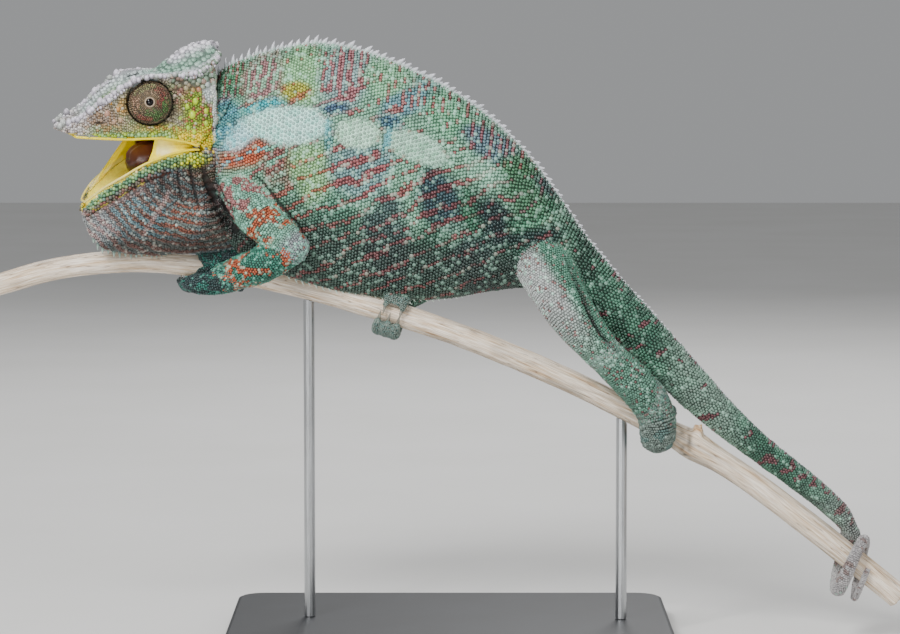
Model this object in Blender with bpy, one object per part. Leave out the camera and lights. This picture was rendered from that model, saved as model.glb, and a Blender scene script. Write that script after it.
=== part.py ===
"""Panther chameleon on a cut length of branch, life-size, on a plain display stand.

The animal faces -X and its left side faces -Y. Lengths are written in millimetres and
turned to metres when a mesh is made. The origin is on the floor, at the middle of the
whole model's box.
"""

import math

import bmesh
import bpy
import numpy as np

MM = 0.001
WELD = 2e-7
GAP = 0.3              # clear space kept between neighbouring solids
FOLD_GAP = 0.5         # the same, where creased skin meets

# Perch: a tapering, gently arched branch, cut at both ends.
PERCH_ENDS = (-164.8, 163.1)
PERCH_PATH = ((-166.0, 128.6), (-145.0, 134.6), (-127.0, 137.3), (-108.0, 137.6), (-84.0, 134.6),
              (-57.0, 129.2), (-30.0, 122.2), (-3.0, 113.7), (24.0, 103.3), (51.0, 91.1),
              (82.0, 74.8), (105.0, 61.0), (126.0, 45.5), (147.0, 29.0), (166.0, 13.6))
PERCH_RADIUS_LEFT = 4.0
PERCH_RADIUS_RIGHT = 4.6
PERCH_BOW = 8.5           # the branch bows away from -Y under the throat and chest
PERCH_BOW_X = -78.0
PERCH_BOW_SPREAD = 40.0
KNOT_X = 88.0
KNOT_SWELL = 1.1
KNOT_SPREAD = 6.0
STUB_BASE = (88.5, 0.0, 71.0)
STUB_TIP = (89.6, -3.2, 79.0)
STUB_RADII = (3.4, 2.2)

# Display stand.
BASE_SIZE = (160.0, 116.0, 8.0)
BASE_CORNER = 10.0
BASE_EDGE = 1.5
ROD_RADIUS = 2.0
ROD_XS = (-51.0, 62.0)

# Body rings: back line (x, z), belly line (x, z), half width. From the nape to the tail's root.
BODY_RINGS = (
    ((-88.0, 203.0), (-90.0, 168.0), 10.5),
    ((-80.5, 209.5), (-84.5, 154.0), 12.0),
    ((-71.0, 213.8), (-77.0, 142.0), 14.0),
    ((-59.0, 217.0), (-67.0, 135.6), 16.0),
    ((-45.5, 218.6), (-53.5, 130.6), 17.4),
    ((-30.0, 215.6), (-38.0, 126.6), 18.0),
    ((-13.0, 208.8), (-20.0, 124.2), 18.0),
    ((4.0, 199.6), (-3.0, 124.0), 17.4),
    ((18.0, 188.8), (9.0, 126.0), 16.0),
    ((30.0, 176.4), (19.0, 127.6), 14.2),
    ((41.0, 161.4), (28.0, 128.0), 12.2),
    ((51.0, 147.2), (36.0, 124.4), 10.6),
)
# Tail rings: back point, depth, width; each ring is square to the tail's run.
TAIL_RINGS = (
    ((62.3, 133.6), 22.0, 18.0, 0.0),
    ((77.4, 116.8), 18.8, 15.6, 0.3),
    ((93.6, 98.4), 16.4, 13.4, 0.7),
    ((104.5, 86.0), 13.8, 11.6, 1.1),
    ((115.5, 75.2), 11.6, 10.0, 1.6),
    ((128.0, 64.9), 10.6, 9.2, 2.1),
    ((138.8, 55.6), 9.8, 8.6, 2.6),
    ((146.0, 47.6), 8.8, 8.0, 2.9),
)
# Tail coil: an oval helix that hangs loosely round the branch.
COIL_CENTRE = (140.0, 34.6)
COIL_SLOPE = math.radians(37.3)
COIL_START = 0.10          # turns past the top of the branch
COIL_END = 1.80
COIL_ADVANCE = 6.8
COIL_SHIFT = 3.1
COIL_LEAN = 3.4
COIL_SKEW = 1.5
COIL_DROP = 1.7
COIL_TALL = (10.7, 9.0)    # half height, first and last
COIL_WIDE = (9.0, 6.2)     # half width, first and last
COIL_RADIUS = (4.1, 2.5, 1.0)
TRUNK_SPLITS = (1.3, 6.0, 11.4)
TAIL_SPLITS = (14.2, 17.0, 19.4)

# Head frame: level with the eyes on the mid plane; turned towards -Y and slightly rolled.
HEAD_ORIGIN = (-107.6, -9.0, 196.0)
HEAD_TURN = math.radians(22.0)
HEAD_ROLL = math.radians(7.0)
# Skull stations, snout to casque: x, middle height, crest (half width, height), side (half width,
# height), lip (half width, height), palate height.
SKULL = (
    (33.2, -9.1, 2.2, -8.4, 2.6, -9.6, 2.0, -10.6, -10.2),
    (31.4, -8.2, 4.4, -6.9, 4.8, -9.0, 4.2, -11.6, -10.1),
    (26.4, -5.8, 6.4, -4.4, 7.2, -7.8, 7.4, -12.1, -9.2),
    (19.0, -2.6, 8.4, 0.9, 8.8, -5.0, 10.4, -12.2, -8.6),
    (10.4, 3.8, 10.8, 7.4, 9.9, -2.0, 12.4, -12.3, -8.6),
    (5.0, 7.9, 12.0, 10.5, 9.0, -1.0, 13.5, -12.0, -8.8),
    (-1.0, 9.8, 12.4, 10.8, 8.8, -0.5, 14.2, -11.9, -9.0),
    (-8.0, 14.6, 12.4, 10.8, 9.8, -0.5, 14.8, -12.7, -9.2),
    (-12.5, 18.3, 12.0, 11.0, 12.2, -1.5, 15.1, -13.7, -10.4),
    (-16.5, 20.5, 11.2, 12.2, 13.8, -2.5, 15.0, -15.2, -13.4),
    (-20.2, 21.2, 9.6, 14.0, 13.4, -1.5, 13.4, -15.6, -15.2),
    (-22.6, 21.3, 7.8, 15.6, 8.4, 10.5, 6.6, 7.5, 7.0),
    (-25.8, 20.4, 3.4, 18.2, 3.4, 17.0, 2.8, 15.4, 15.2),
)
# Lower jaw and throat, chin to shoulder: x, lip (half width, height), side (half width, height),
# keel height.
JAW = (
    (23.2, 1.6, -37.0, 1.6, -38.6, -40.6),
    (21.6, 4.8, -34.8, 3.8, -40.4, -45.6),
    (17.4, 8.0, -30.5, 7.4, -40.0, -51.6),
    (11.3, 10.6, -26.2, 10.6, -38.6, -54.8),
    (3.0, 12.8, -21.0, 13.4, -36.0, -56.0),
    (-8.0, 14.2, -17.0, 15.0, -34.6, -56.4),
    (-17.0, 14.8, -16.4, 15.6, -34.0, -56.4),
    (-25.0, 13.0, -22.0, 14.8, -37.0, -57.2),
    (-31.5, 10.0, -31.0, 12.6, -41.0, -56.8),
    (-36.5, 6.0, -42.0, 8.0, -46.5, -54.4),
)
JAW_SPLIT_DROP = 6.5       # depth of the jaw bone below the lip line
JAW_END = 6.0              # the row of the table where the lips meet
JAW_STEP = 0.5
MOUTH_FLOOR_DROP = 4.0
LIP_THICK = 2.2
GAPE_BACK = -17.0          # where the lips meet
MEMBRANE_FRONT = -5.0
MOUTH_CLEAR = 0.5
TONGUE_X = 4.0
TONGUE_HALF = (7.6, 5.0, 2.8)

# Eye turrets: domes on the sides of the head.
TURRET_SEAT = 5.6          # out from the mid plane
TURRET_RADIUS = 8.1
TURRET_RISE = 10.6
TURRET_BACK = 0.8
PUPIL_WELL = (1.9, 1.5)    # radius and depth of the lid's opening
EYEBALL_RADIUS = 1.5

SIDES_OF_TOES = 8          # corners of a toe bundle's section

# Limbs: joint points and radii. The first foreleg is the left one, nearest -Y.
LEFT_ARM = (((-72.0, -9.0, 162.0), 12.0), ((-64.0, -15.0, 154.0), 10.0), ((-56.5, -18.0, 145.5), 7.6))
LEFT_FOREARM = (((-56.5, -17.6, 143.6), 7.2), ((-67.0, -15.5, 138.0), 8.0), ((-79.0, -10.0, 133.6), 6.8))
RIGHT_ARM = (((-74.0, 8.0, 165.0), 11.0), ((-62.0, 15.0, 155.0), 8.8), ((-51.5, 17.5, 148.0), 6.8))
RIGHT_FOREARM = (((-51.5, 17.5, 147.2), 6.9), ((-63.0, 18.0, 141.0), 6.2), ((-74.0, 14.0, 137.0), 5.4))
LEFT_THIGH = (((34.0, -7.0, 136.0), 12.0), ((43.2, -13.5, 120.4), 10.2), ((55.0, -15.0, 105.7), 7.8))
LEFT_SHIN = (((55.5, -15.0, 105.3), 7.8), ((66.9, -13.4, 94.0), 8.3), ((74.6, -10.6, 82.4), 7.4))
RIGHT_THIGH = (((33.0, 6.5, 139.0), 10.0), ((18.0, 18.0, 136.0), 8.4), ((2.0, 22.0, 134.5), 6.8))
RIGHT_SHIN = (((1.6, 22.0, 134.0), 6.6), ((-9.0, 18.0, 127.0), 5.6), ((-19.0, 10.5, 121.5), 4.6))


# ----------------------------------------------------------------- scene and mesh helpers

def clear_scene():
    """Remove every object, so the model starts from nothing."""
    for old in list(bpy.data.objects):
        bpy.data.objects.remove(old, do_unlink=True)


def material(name, colour, roughness, metallic=0.0):
    """A plain Principled material with one colour."""
    made = bpy.data.materials.new(name)
    made.use_nodes = True
    shader = made.node_tree.nodes["Principled BSDF"]
    shader.inputs["Base Color"].default_value = (*colour, 1.0)
    shader.inputs["Roughness"].default_value = roughness
    shader.inputs["Metallic"].default_value = metallic
    made.diffuse_color = (*colour, 1.0)
    return made


def add_object(name, points, faces, paint):
    """One object from points in millimetres and faces as index lists."""
    mesh = bpy.data.meshes.new(name)
    mesh.from_pydata([tuple(p) for p in np.asarray(points) * MM], [], [tuple(f) for f in faces])
    build = bmesh.new()
    build.from_mesh(mesh)
    bmesh.ops.triangulate(build, faces=[f for f in build.faces if len(f.verts) > 4])
    bmesh.ops.recalc_face_normals(build, faces=build.faces)
    build.to_mesh(mesh)
    build.free()
    mesh.shade_smooth()
    mesh.set_sharp_from_angle(angle=math.radians(50.0))
    mesh.materials.append(paint)
    made = bpy.data.objects.new(name, mesh)
    bpy.context.scene.collection.objects.link(made)
    return made


def grown_copy(source, amount):
    """A helper copy of a solid, pushed outwards along its normals by `amount` millimetres."""
    mesh = source.data.copy()
    build = bmesh.new()
    build.from_mesh(mesh)
    build.normal_update()
    for vertex in build.verts:
        vertex.co += vertex.normal * amount * MM
    build.to_mesh(mesh)
    build.free()
    helper = bpy.data.objects.new(source.name + "_cutter", mesh)
    bpy.context.scene.collection.objects.link(helper)
    helper.hide_render = True
    helper.display_type = "WIRE"
    return helper


def apply_boolean(target, helper, operation, solver="EXACT"):
    """Run one Boolean on the target and keep the result as its mesh."""
    step = target.modifiers.new("cut", "BOOLEAN")
    step.operation = operation
    step.solver = solver
    step.object = helper
    graph = bpy.context.evaluated_depsgraph_get()
    result = bpy.data.meshes.new_from_object(target.evaluated_get(graph))
    target.modifiers.remove(step)
    paint = target.data.materials[0]
    result.materials.clear()
    result.materials.append(paint)
    result.polygons.foreach_set("material_index", [0] * len(result.polygons))
    target.data = result


def keep_largest(target):
    """Drop the loose crumbs that a cut can leave, and keep the largest piece."""
    build = bmesh.new()
    build.from_mesh(target.data)
    bmesh.ops.remove_doubles(build, verts=build.verts, dist=WELD)
    left = set(build.verts)
    shells = []
    while left:
        shell = set()
        front = [left.pop()]
        while front:
            vertex = front.pop()
            shell.add(vertex)
            for edge in vertex.link_edges:
                other = edge.other_vert(vertex)
                if other in left:
                    left.remove(other)
                    front.append(other)
        shells.append(shell)
    shells.sort(key=len, reverse=True)
    for shell in shells[1:]:
        bmesh.ops.delete(build, geom=list(shell), context="VERTS")
    bmesh.ops.triangulate(build, faces=build.faces)
    bmesh.ops.recalc_face_normals(build, faces=build.faces)
    build.to_mesh(target.data)
    build.free()


def cut_away(target, *neighbours, solver="EXACT", clear=GAP):
    """Trim a solid so that it clears each neighbour by the gap."""
    for neighbour in neighbours:
        helper = grown_copy(neighbour, clear)
        apply_boolean(target, helper, "DIFFERENCE", solver)
        bpy.data.objects.remove(helper, do_unlink=True)
    keep_largest(target)


def join_solids(target, *extras):
    """Weld solids into one closed body."""
    for extra in extras:
        apply_boolean(target, extra, "UNION")
        bpy.data.objects.remove(extra, do_unlink=True)
    keep_largest(target)


# ----------------------------------------------------------------- curves and lofts

def spline(knots, places):
    """A smooth curve through evenly numbered knots, read at the given places.

    Each stretch is a cubic whose slope at a knot is half the step between its neighbours.
    """
    knots = np.asarray(knots, dtype=float)
    last = len(knots) - 1
    padded = np.concatenate([[2 * knots[0] - knots[1]], knots, [2 * knots[-1] - knots[-2]]])
    index = np.clip(np.floor(places).astype(int), 0, last - 1)
    t = (np.asarray(places) - index).reshape((-1,) + (1,) * (knots.ndim - 1))
    a, b, c, d = (padded[index + k] for k in range(4))
    return b + 0.5 * t * (c - a + t * (2 * a - 5 * b + 4 * c - d + t * (3 * (b - c) + d - a)))


def ring_faces(rings, sides):
    """Quads between neighbouring rings, and one cap at each end."""
    faces = []
    for ring in range(rings - 1):
        for side in range(sides):
            after = (side + 1) % sides
            low, high = ring * sides, (ring + 1) * sides
            faces.append((low + side, low + after, high + after, high + side))
    faces.append(tuple(range(sides))[::-1])
    faces.append(tuple(range((rings - 1) * sides, rings * sides)))
    return faces


def oval_rings(centres, ups, sides, keels, count):
    """Rings of points: centre + up * sin(a) + side * cos(a) * |cos(a)|^(keel - 1).

    A keel above 1 draws the ring to an edge at the top and at the bottom.
    """
    turn = np.linspace(0.0, 2 * math.pi, count, endpoint=False)
    cosine = np.cos(turn)
    sine = np.sin(turn)
    keels = np.asarray(keels, dtype=float).reshape(-1, 1)
    spread = np.sign(cosine) * np.abs(cosine) ** keels
    return (centres[:, None, :] + ups[:, None, :] * sine[None, :, None]
            + sides[:, None, :] * spread[:, :, None]).reshape(-1, 3)


def unit(vectors):
    """Vectors scaled to length 1."""
    return vectors / np.linalg.norm(vectors, axis=-1, keepdims=True)


def tube_points(path, radii, flat, reference, count, keel=1.0):
    """Rings square to a path; `flat` widens them along the side square to `reference`."""
    path = np.asarray(path, dtype=float)
    along = unit(np.gradient(path, axis=0))
    side = unit(np.cross(along, np.asarray(reference, dtype=float)))
    up = np.cross(side, along)
    radii = np.asarray(radii, dtype=float)[:, None]
    return oval_rings(path, up * radii, side * radii * flat, np.full(len(path), keel), count)


def rounded_run(path, radii, steps=2):
    """A path with its ends closed by domes: the ends gain rings that shrink as a circle does."""
    path = np.asarray(path, dtype=float)
    radii = np.asarray(radii, dtype=float)
    angles = np.linspace(0.0, 0.5 * math.pi, steps + 1)[1:] * 0.92
    first = unit(path[0] - path[1])
    last = unit(path[-1] - path[-2])
    head = [path[0] + first * radii[0] * math.sin(a) for a in angles][::-1]
    tail = [path[-1] + last * radii[-1] * math.sin(a) for a in angles]
    head_radii = [radii[0] * math.cos(a) for a in angles][::-1]
    tail_radii = [radii[-1] * math.cos(a) for a in angles]
    return (np.concatenate([head, path, tail]),
            np.concatenate([head_radii, radii, tail_radii]))


# ----------------------------------------------------------------- perch and stand

def perch_point(x):
    """Centre of the branch at x, from the smooth curve through its path."""
    path = np.array(PERCH_PATH)
    places = np.linspace(0.0, len(path) - 1.0, 400)
    curve = spline(path, places)
    bow = PERCH_BOW * math.exp(-((x - PERCH_BOW_X) / PERCH_BOW_SPREAD) ** 2)
    return np.array([x, bow, np.interp(x, curve[:, 0], curve[:, 1])])


def perch_frame(x):
    """Direction along the branch, and the upward direction square to it, at x."""
    step = 2.0
    along = unit(perch_point(x + step) - perch_point(x - step))
    up = unit(np.array([-along[2], 0.0, along[0]]))
    return along, up


def perch_radius(x):
    """The branch thickens towards +X and swells at the knot."""
    share = (x - PERCH_ENDS[0]) / (PERCH_ENDS[1] - PERCH_ENDS[0])
    swell = KNOT_SWELL * np.exp(-((x - KNOT_X) / KNOT_SPREAD) ** 2)
    return PERCH_RADIUS_LEFT + (PERCH_RADIUS_RIGHT - PERCH_RADIUS_LEFT) * share + swell


def make_perch(paint):
    """The branch with its broken twig stub."""
    xs = np.concatenate([np.linspace(PERCH_ENDS[0], 76.0, 22),
                         np.linspace(81.0, 97.0, 5), np.linspace(106.0, PERCH_ENDS[1], 6)])
    path = np.array([perch_point(x) for x in xs])
    sides = 10
    points = tube_points(path, perch_radius(xs), 1.0, (0.0, 1.0, 0.0), sides)
    branch = add_object("perch_branch", points, ring_faces(len(xs), sides), paint)
    run = np.linspace(np.array(STUB_BASE), np.array(STUB_TIP), 4)
    radii = np.linspace(STUB_RADII[0], STUB_RADII[1], 4)
    stub = add_object("stub", tube_points(run, radii, 1.0, (0.0, 1.0, 0.0), 8), ring_faces(4, 8), paint)
    join_solids(branch, stub)
    return branch


def make_stand(paint_base, paint_rod, perch):
    """A flat base with rounded corners, and two upright rods that carry the branch."""
    length, width, height = BASE_SIZE
    build = bmesh.new()
    bmesh.ops.create_cube(build, size=1.0)
    bmesh.ops.scale(build, vec=(length * MM, width * MM, height * MM), verts=build.verts)
    bmesh.ops.translate(build, vec=(0.0, 0.0, height * MM / 2), verts=build.verts)
    upright = [e for e in build.edges if abs(e.verts[0].co.z - e.verts[1].co.z) > height * MM / 2]
    bmesh.ops.bevel(build, geom=upright, offset=BASE_CORNER * MM, segments=6, affect="EDGES", profile=0.5)
    rim = [e for e in build.edges if min(v.co.z for v in e.verts) > 0.9 * height * MM]
    bmesh.ops.bevel(build, geom=rim, offset=BASE_EDGE * MM, segments=2, affect="EDGES", profile=0.5)
    bmesh.ops.triangulate(build, faces=build.faces)
    mesh = bpy.data.meshes.new("stand_base")
    build.to_mesh(mesh)
    build.free()
    mesh.shade_smooth()
    mesh.set_sharp_from_angle(angle=math.radians(40.0))
    mesh.materials.append(paint_base)
    base = bpy.data.objects.new("stand_base", mesh)
    bpy.context.scene.collection.objects.link(base)
    for label, x in zip(("front", "back"), ROD_XS):
        seat = perch_point(x)
        run = np.linspace((x, seat[1], height + GAP), seat, 2)
        rod = add_object("stand_rod_" + label, tube_points(run, np.full(2, ROD_RADIUS), 1.0,
                                                           (0.0, 1.0, 0.0), 12), ring_faces(2, 12), paint_rod)
        cut_away(rod, perch)
    return base


# ----------------------------------------------------------------- trunk and tail

def coil_rings():
    """Rings of the coil: centre, outward radius vector and side radius vector."""
    along = np.array([math.cos(COIL_SLOPE), 0.0, -math.sin(COIL_SLOPE)])
    up = np.array([math.sin(COIL_SLOPE), 0.0, math.cos(COIL_SLOPE)])
    across = np.array([0.0, 1.0, 0.0])
    turns = np.linspace(COIL_START, COIL_END, 19)
    share = (turns - COIL_START) / (COIL_END - COIL_START)
    angle = 2 * math.pi * turns
    tall = np.interp(share, (0.0, 1.0), COIL_TALL)
    wide = np.interp(share, (0.0, 1.0), COIL_WIDE)
    radius = np.interp(share, (0.0, 0.45, 1.0), COIL_RADIUS)
    slide = COIL_SHIFT + COIL_ADVANCE * turns - COIL_LEAN * np.cos(angle) + COIL_SKEW * np.sin(angle)
    lift = -COIL_DROP + tall * np.cos(angle)
    sway = wide * np.sin(angle)
    origin = np.array([COIL_CENTRE[0], 0.0, COIL_CENTRE[1]])
    centres = origin + np.outer(slide, along) + np.outer(lift, up) + np.outer(sway, across)
    tangent = unit(np.gradient(centres, axis=0))
    outward = np.outer(np.cos(angle), up) + np.outer(np.sin(angle), across)
    outward = unit(outward - tangent * np.sum(outward * tangent, axis=1, keepdims=True))
    side = np.cross(outward, tangent)
    return centres, outward * radius[:, None], side * radius[:, None]


def body_rings():
    """Rings of the whole body, nape to tail tip, as centre, up and side vectors."""
    centres, ups, sides = [], [], []
    for top, bottom, half_width in BODY_RINGS:
        top = np.array([top[0], 0.0, top[1]])
        bottom = np.array([bottom[0], 0.0, bottom[1]])
        centres.append((top + bottom) / 2)
        ups.append((top - bottom) / 2)
        sides.append(np.array([0.0, half_width, 0.0]))
    tops = np.array([ring[0] for ring in TAIL_RINGS])
    runs = unit(np.gradient(np.vstack([[BODY_RINGS[-1][0]], tops, [(149.0, 40.0)]]), axis=0))[1:-1]
    for (top, depth, width, sway), run in zip(TAIL_RINGS, runs):
        up = np.array([-run[1], 0.0, run[0]])
        centres.append(np.array([top[0], sway, top[1]]) - up * depth / 2)
        ups.append(up * depth / 2)
        sides.append(np.array([0.0, width / 2, 0.0]))
    coil_centres, coil_ups, coil_sides = coil_rings()
    return (np.vstack([centres, coil_centres]), np.vstack([ups, coil_ups]),
            np.vstack([sides, coil_sides]))


def body_length(name, start, end, rings, count, paint):
    """One length of the body between two ring numbers, with half a gap trimmed off each end."""
    centres, ups, sides = body_rings()
    last = len(centres) - 1
    places = np.linspace(start, min(end, last), rings)
    step = np.linalg.norm(spline(centres, [start + 0.01]) - spline(centres, [start])) / 0.01
    if start > 0:
        places[0] += GAP / 2 / step
    step = np.linalg.norm(spline(centres, [places[-1]]) - spline(centres, [places[-1] - 0.01])) / 0.01
    if end < last:
        places[-1] -= GAP / 2 / step
    keels = np.interp(places, (0.0, 5.0, 11.0, 16.0, 20.0), (1.25, 1.45, 1.35, 1.15, 1.0))
    points = oval_rings(spline(centres, places), spline(ups, places), spline(sides, places), keels, count)
    return add_object(name, points, ring_faces(rings, count), paint)


def make_body(paints):
    """Neck, trunk and tail, each a length of one continuous form."""
    last = len(body_rings()[0]) - 1
    pieces = {
        "neck": body_length("neck", 0.0, TRUNK_SPLITS[0], 4, 20, paints["teal"]),
        "trunk_front": body_length("trunk_front", TRUNK_SPLITS[0], TRUNK_SPLITS[1], 10, 22, paints["flank"]),
        "trunk_rear": body_length("trunk_rear", TRUNK_SPLITS[1], TRUNK_SPLITS[2], 11, 22, paints["green"]),
        "tail_root": body_length("tail_root", TRUNK_SPLITS[2], TAIL_SPLITS[0], 7, 18, paints["green"]),
        "tail_middle": body_length("tail_middle", TAIL_SPLITS[0], TAIL_SPLITS[1], 8, 14, paints["green"]),
        "tail_end": body_length("tail_end", TAIL_SPLITS[1], TAIL_SPLITS[2], 7, 12, paints["grey"]),
        "tail_coil": body_length("tail_coil", TAIL_SPLITS[2], last, 31, 8, paints["grey"]),
    }
    return pieces


# ----------------------------------------------------------------- head

def head_axes():
    """The head's forward, left and up directions in the world."""
    forward = np.array([-math.cos(HEAD_TURN), -math.sin(HEAD_TURN), 0.0])
    left = np.array([math.sin(HEAD_TURN), -math.cos(HEAD_TURN), 0.0])
    up = np.array([0.0, 0.0, 1.0])
    rolled_left = left * math.cos(HEAD_ROLL) - up * math.sin(HEAD_ROLL)
    rolled_up = up * math.cos(HEAD_ROLL) + left * math.sin(HEAD_ROLL)
    return forward, rolled_left, rolled_up


def head_to_world(points):
    """Points in the head's frame (forward, left, up) to the world."""
    forward, left, up = head_axes()
    points = np.asarray(points, dtype=float)
    return np.array(HEAD_ORIGIN) + points[..., :1] * forward + points[..., 1:2] * left + points[..., 2:] * up


def mirrored_loft(half_rings):
    """Full rings from half rings that run from the mid plane at the top to the one at the bottom."""
    right = half_rings[:, 1:-1][:, ::-1] * np.array([1.0, -1.0, 1.0])
    return np.concatenate([half_rings, right], axis=1)


def skull_half_rings(places):
    """Half sections of the skull: concave roof, crest, orbit, cheek, lip and palate."""
    rows = spline(SKULL, places)
    x, mid, crest_w, crest_z, side_w, side_z, lip_w, lip_z, palate_z = rows.T
    zero = np.zeros_like(x)
    outline = [
        (zero, mid),
        (crest_w * 0.55, mid * 0.55 + crest_z * 0.45 - 0.5),
        (crest_w * 0.93, crest_z),
        (crest_w, crest_z - 0.8),
        (side_w * 0.55 + crest_w * 0.45, (side_z + crest_z) / 2),
        (side_w, side_z),
        (side_w * 0.4 + lip_w * 0.6, side_z * 0.4 + lip_z * 0.6),
        (lip_w, lip_z + 0.8),
        (lip_w * 0.96, lip_z),
        (lip_w * 0.72, lip_z * 0.7 + palate_z * 0.3),
        (lip_w * 0.5, palate_z),
        (zero, palate_z),
    ]
    return np.stack([np.stack([x, w, z], axis=-1) for w, z in outline], axis=1)


def make_skull(paint):
    """Head with upper jaw and casque, open below where the mouth gapes."""
    places = np.linspace(0.0, len(SKULL) - 1.0, 19)
    rings = mirrored_loft(skull_half_rings(places))
    count = rings.shape[1]
    return add_object("head", head_to_world(rings.reshape(-1, 3)), ring_faces(len(places), count), paint)


def jaw_rows(places):
    """Columns of the lower jaw's table at the given places."""
    return spline(JAW, places).T


def jaw_depth(lip_z, keel_z):
    """How far the jaw bone reaches below the lip line."""
    return np.minimum(JAW_SPLIT_DROP, (lip_z - keel_z) * 0.55)


def make_lower_jaw(paint):
    """The jaw's rim with the mouth's floor, from the chin to where the lips meet."""
    places = np.arange(0.0, JAW_END + 0.01, JAW_STEP)
    x, lip_w, lip_z, side_w, side_z, keel_z = jaw_rows(places)
    drop = jaw_depth(lip_z, keel_z)
    under = lip_z - drop
    under_w = lip_w + (side_w - lip_w) * 0.5
    floor = lip_z - np.minimum(MOUTH_FLOOR_DROP, drop * 0.6)
    inner = np.maximum(lip_w - LIP_THICK, lip_w * 0.3)
    zero = np.zeros_like(x)
    outline = [(zero, floor), (inner * 0.7, floor), (inner, lip_z - 0.6), (lip_w * 0.93, lip_z),
               (lip_w, lip_z - 0.9), (under_w, (lip_z + under) / 2), (under_w, under), (zero, under)]
    half = np.stack([np.stack([x, w, z], axis=-1) for w, z in outline], axis=1)
    rings = mirrored_loft(half)
    return add_object("lower_jaw", head_to_world(rings.reshape(-1, 3)),
                      ring_faces(len(places), rings.shape[1]), paint)


def make_throat(paint):
    """The swollen throat pouch with its keel, from under the chin to the shoulder fold."""
    under_jaw = np.arange(JAW_STEP, JAW_END + 0.01, JAW_STEP)
    behind = np.concatenate([[JAW_END + 0.06], np.arange(JAW_END + 0.5, len(JAW) - 0.9, 0.5)])
    places = np.concatenate([under_jaw, behind])
    x, lip_w, lip_z, side_w, side_z, keel_z = jaw_rows(places)
    below = (places < JAW_END + 0.01).astype(float)
    top = lip_z - (jaw_depth(lip_z, keel_z) + GAP) * below
    top_w = lip_w + (side_w - lip_w) * 0.5 * below
    zero = np.zeros_like(x)
    outline = [(zero, top), (top_w * 0.6, top), (top_w, top), (side_w, side_z),
               (side_w * 0.86, side_z * 0.6 + keel_z * 0.4), (side_w * 0.5, side_z * 0.25 + keel_z * 0.75),
               (side_w * 0.12, keel_z + 0.6), (zero, keel_z)]
    half = np.stack([np.stack([x, w, z], axis=-1) for w, z in outline], axis=1)
    rings = mirrored_loft(half)
    return add_object("throat", head_to_world(rings.reshape(-1, 3)),
                      ring_faces(len(places), rings.shape[1]), paint)


def turned(profile, centre, axis, count):
    """A solid turned round `axis` from (distance, radius) pairs, closed at both ends."""
    axis = unit(np.asarray(axis, dtype=float))
    helper = np.array([0.0, 0.0, 1.0])
    first = unit(np.cross(axis, helper))
    second = np.cross(axis, first)
    rings = len(profile)
    centres = np.asarray(centre) + np.array([axis * d for d, _ in profile])
    radii = np.array([r for _, r in profile])[:, None]
    keels = np.ones(rings)
    points = oval_rings(centres, np.tile(second, (rings, 1)) * radii, np.tile(first, (rings, 1)) * radii,
                        keels, count)
    return points, ring_faces(rings, count)


def turret_axis(side):
    """The way an eye looks: the left one at -Y, the right one as its mirror image in the head."""
    forward, left, _ = head_axes()
    if side > 0:
        return np.array([0.10, -1.0, 0.04])
    return -left + 0.15 * forward


def make_turret(label, side, paint_skin, paint_eye):
    """One eye turret with the small opening of its fused lids, and the eyeball inside it."""
    seat = head_to_world((TURRET_BACK, side * TURRET_SEAT, 0.0))
    axis = unit(turret_axis(side))
    radius, rise = TURRET_RADIUS, TURRET_RISE
    well_radius, well_depth = PUPIL_WELL
    dome = [(rise * 0.30 + rise * 0.70 * math.sin(a), radius * math.cos(a) ** 0.8)
            for a in np.linspace(0.0, math.radians(70.0), 4)]
    top = dome[-1][0]
    profile = [(-2.0, radius * 0.7), (0.0, radius * 0.96)] + dome
    profile += [(top + 0.25, well_radius + 0.7), (top + 0.1, well_radius), (top - well_depth, well_radius * 0.96)]
    points, faces = turned(profile, seat, axis, 14)
    turret = add_object("eye_turret_" + label, points, faces, paint_skin)
    ball_centre = top - well_depth + GAP
    ball = [(ball_centre, EYEBALL_RADIUS), (ball_centre + 0.5, EYEBALL_RADIUS * 0.98),
            (ball_centre + 0.9, EYEBALL_RADIUS * 0.72), (ball_centre + 1.1, EYEBALL_RADIUS * 0.3)]
    points, faces = turned(ball, seat, axis, 8)
    eyeball = add_object("eyeball_" + label, points, faces, paint_eye)
    return turret, eyeball


def at_x(table, column, x):
    """One column of a station table, read at x through the same smooth curve as the lofts."""
    rows = spline(table, np.linspace(0.0, len(table) - 1.0, 300))
    return np.interp(-np.asarray(x), -rows[:, 0], rows[:, column])


def mouth_floor(x):
    """Height of the mouth's floor at x."""
    lip_z = at_x(JAW, 2, x)
    return lip_z - np.minimum(MOUTH_FLOOR_DROP, jaw_depth(lip_z, at_x(JAW, 5, x)) * 0.6)


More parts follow.
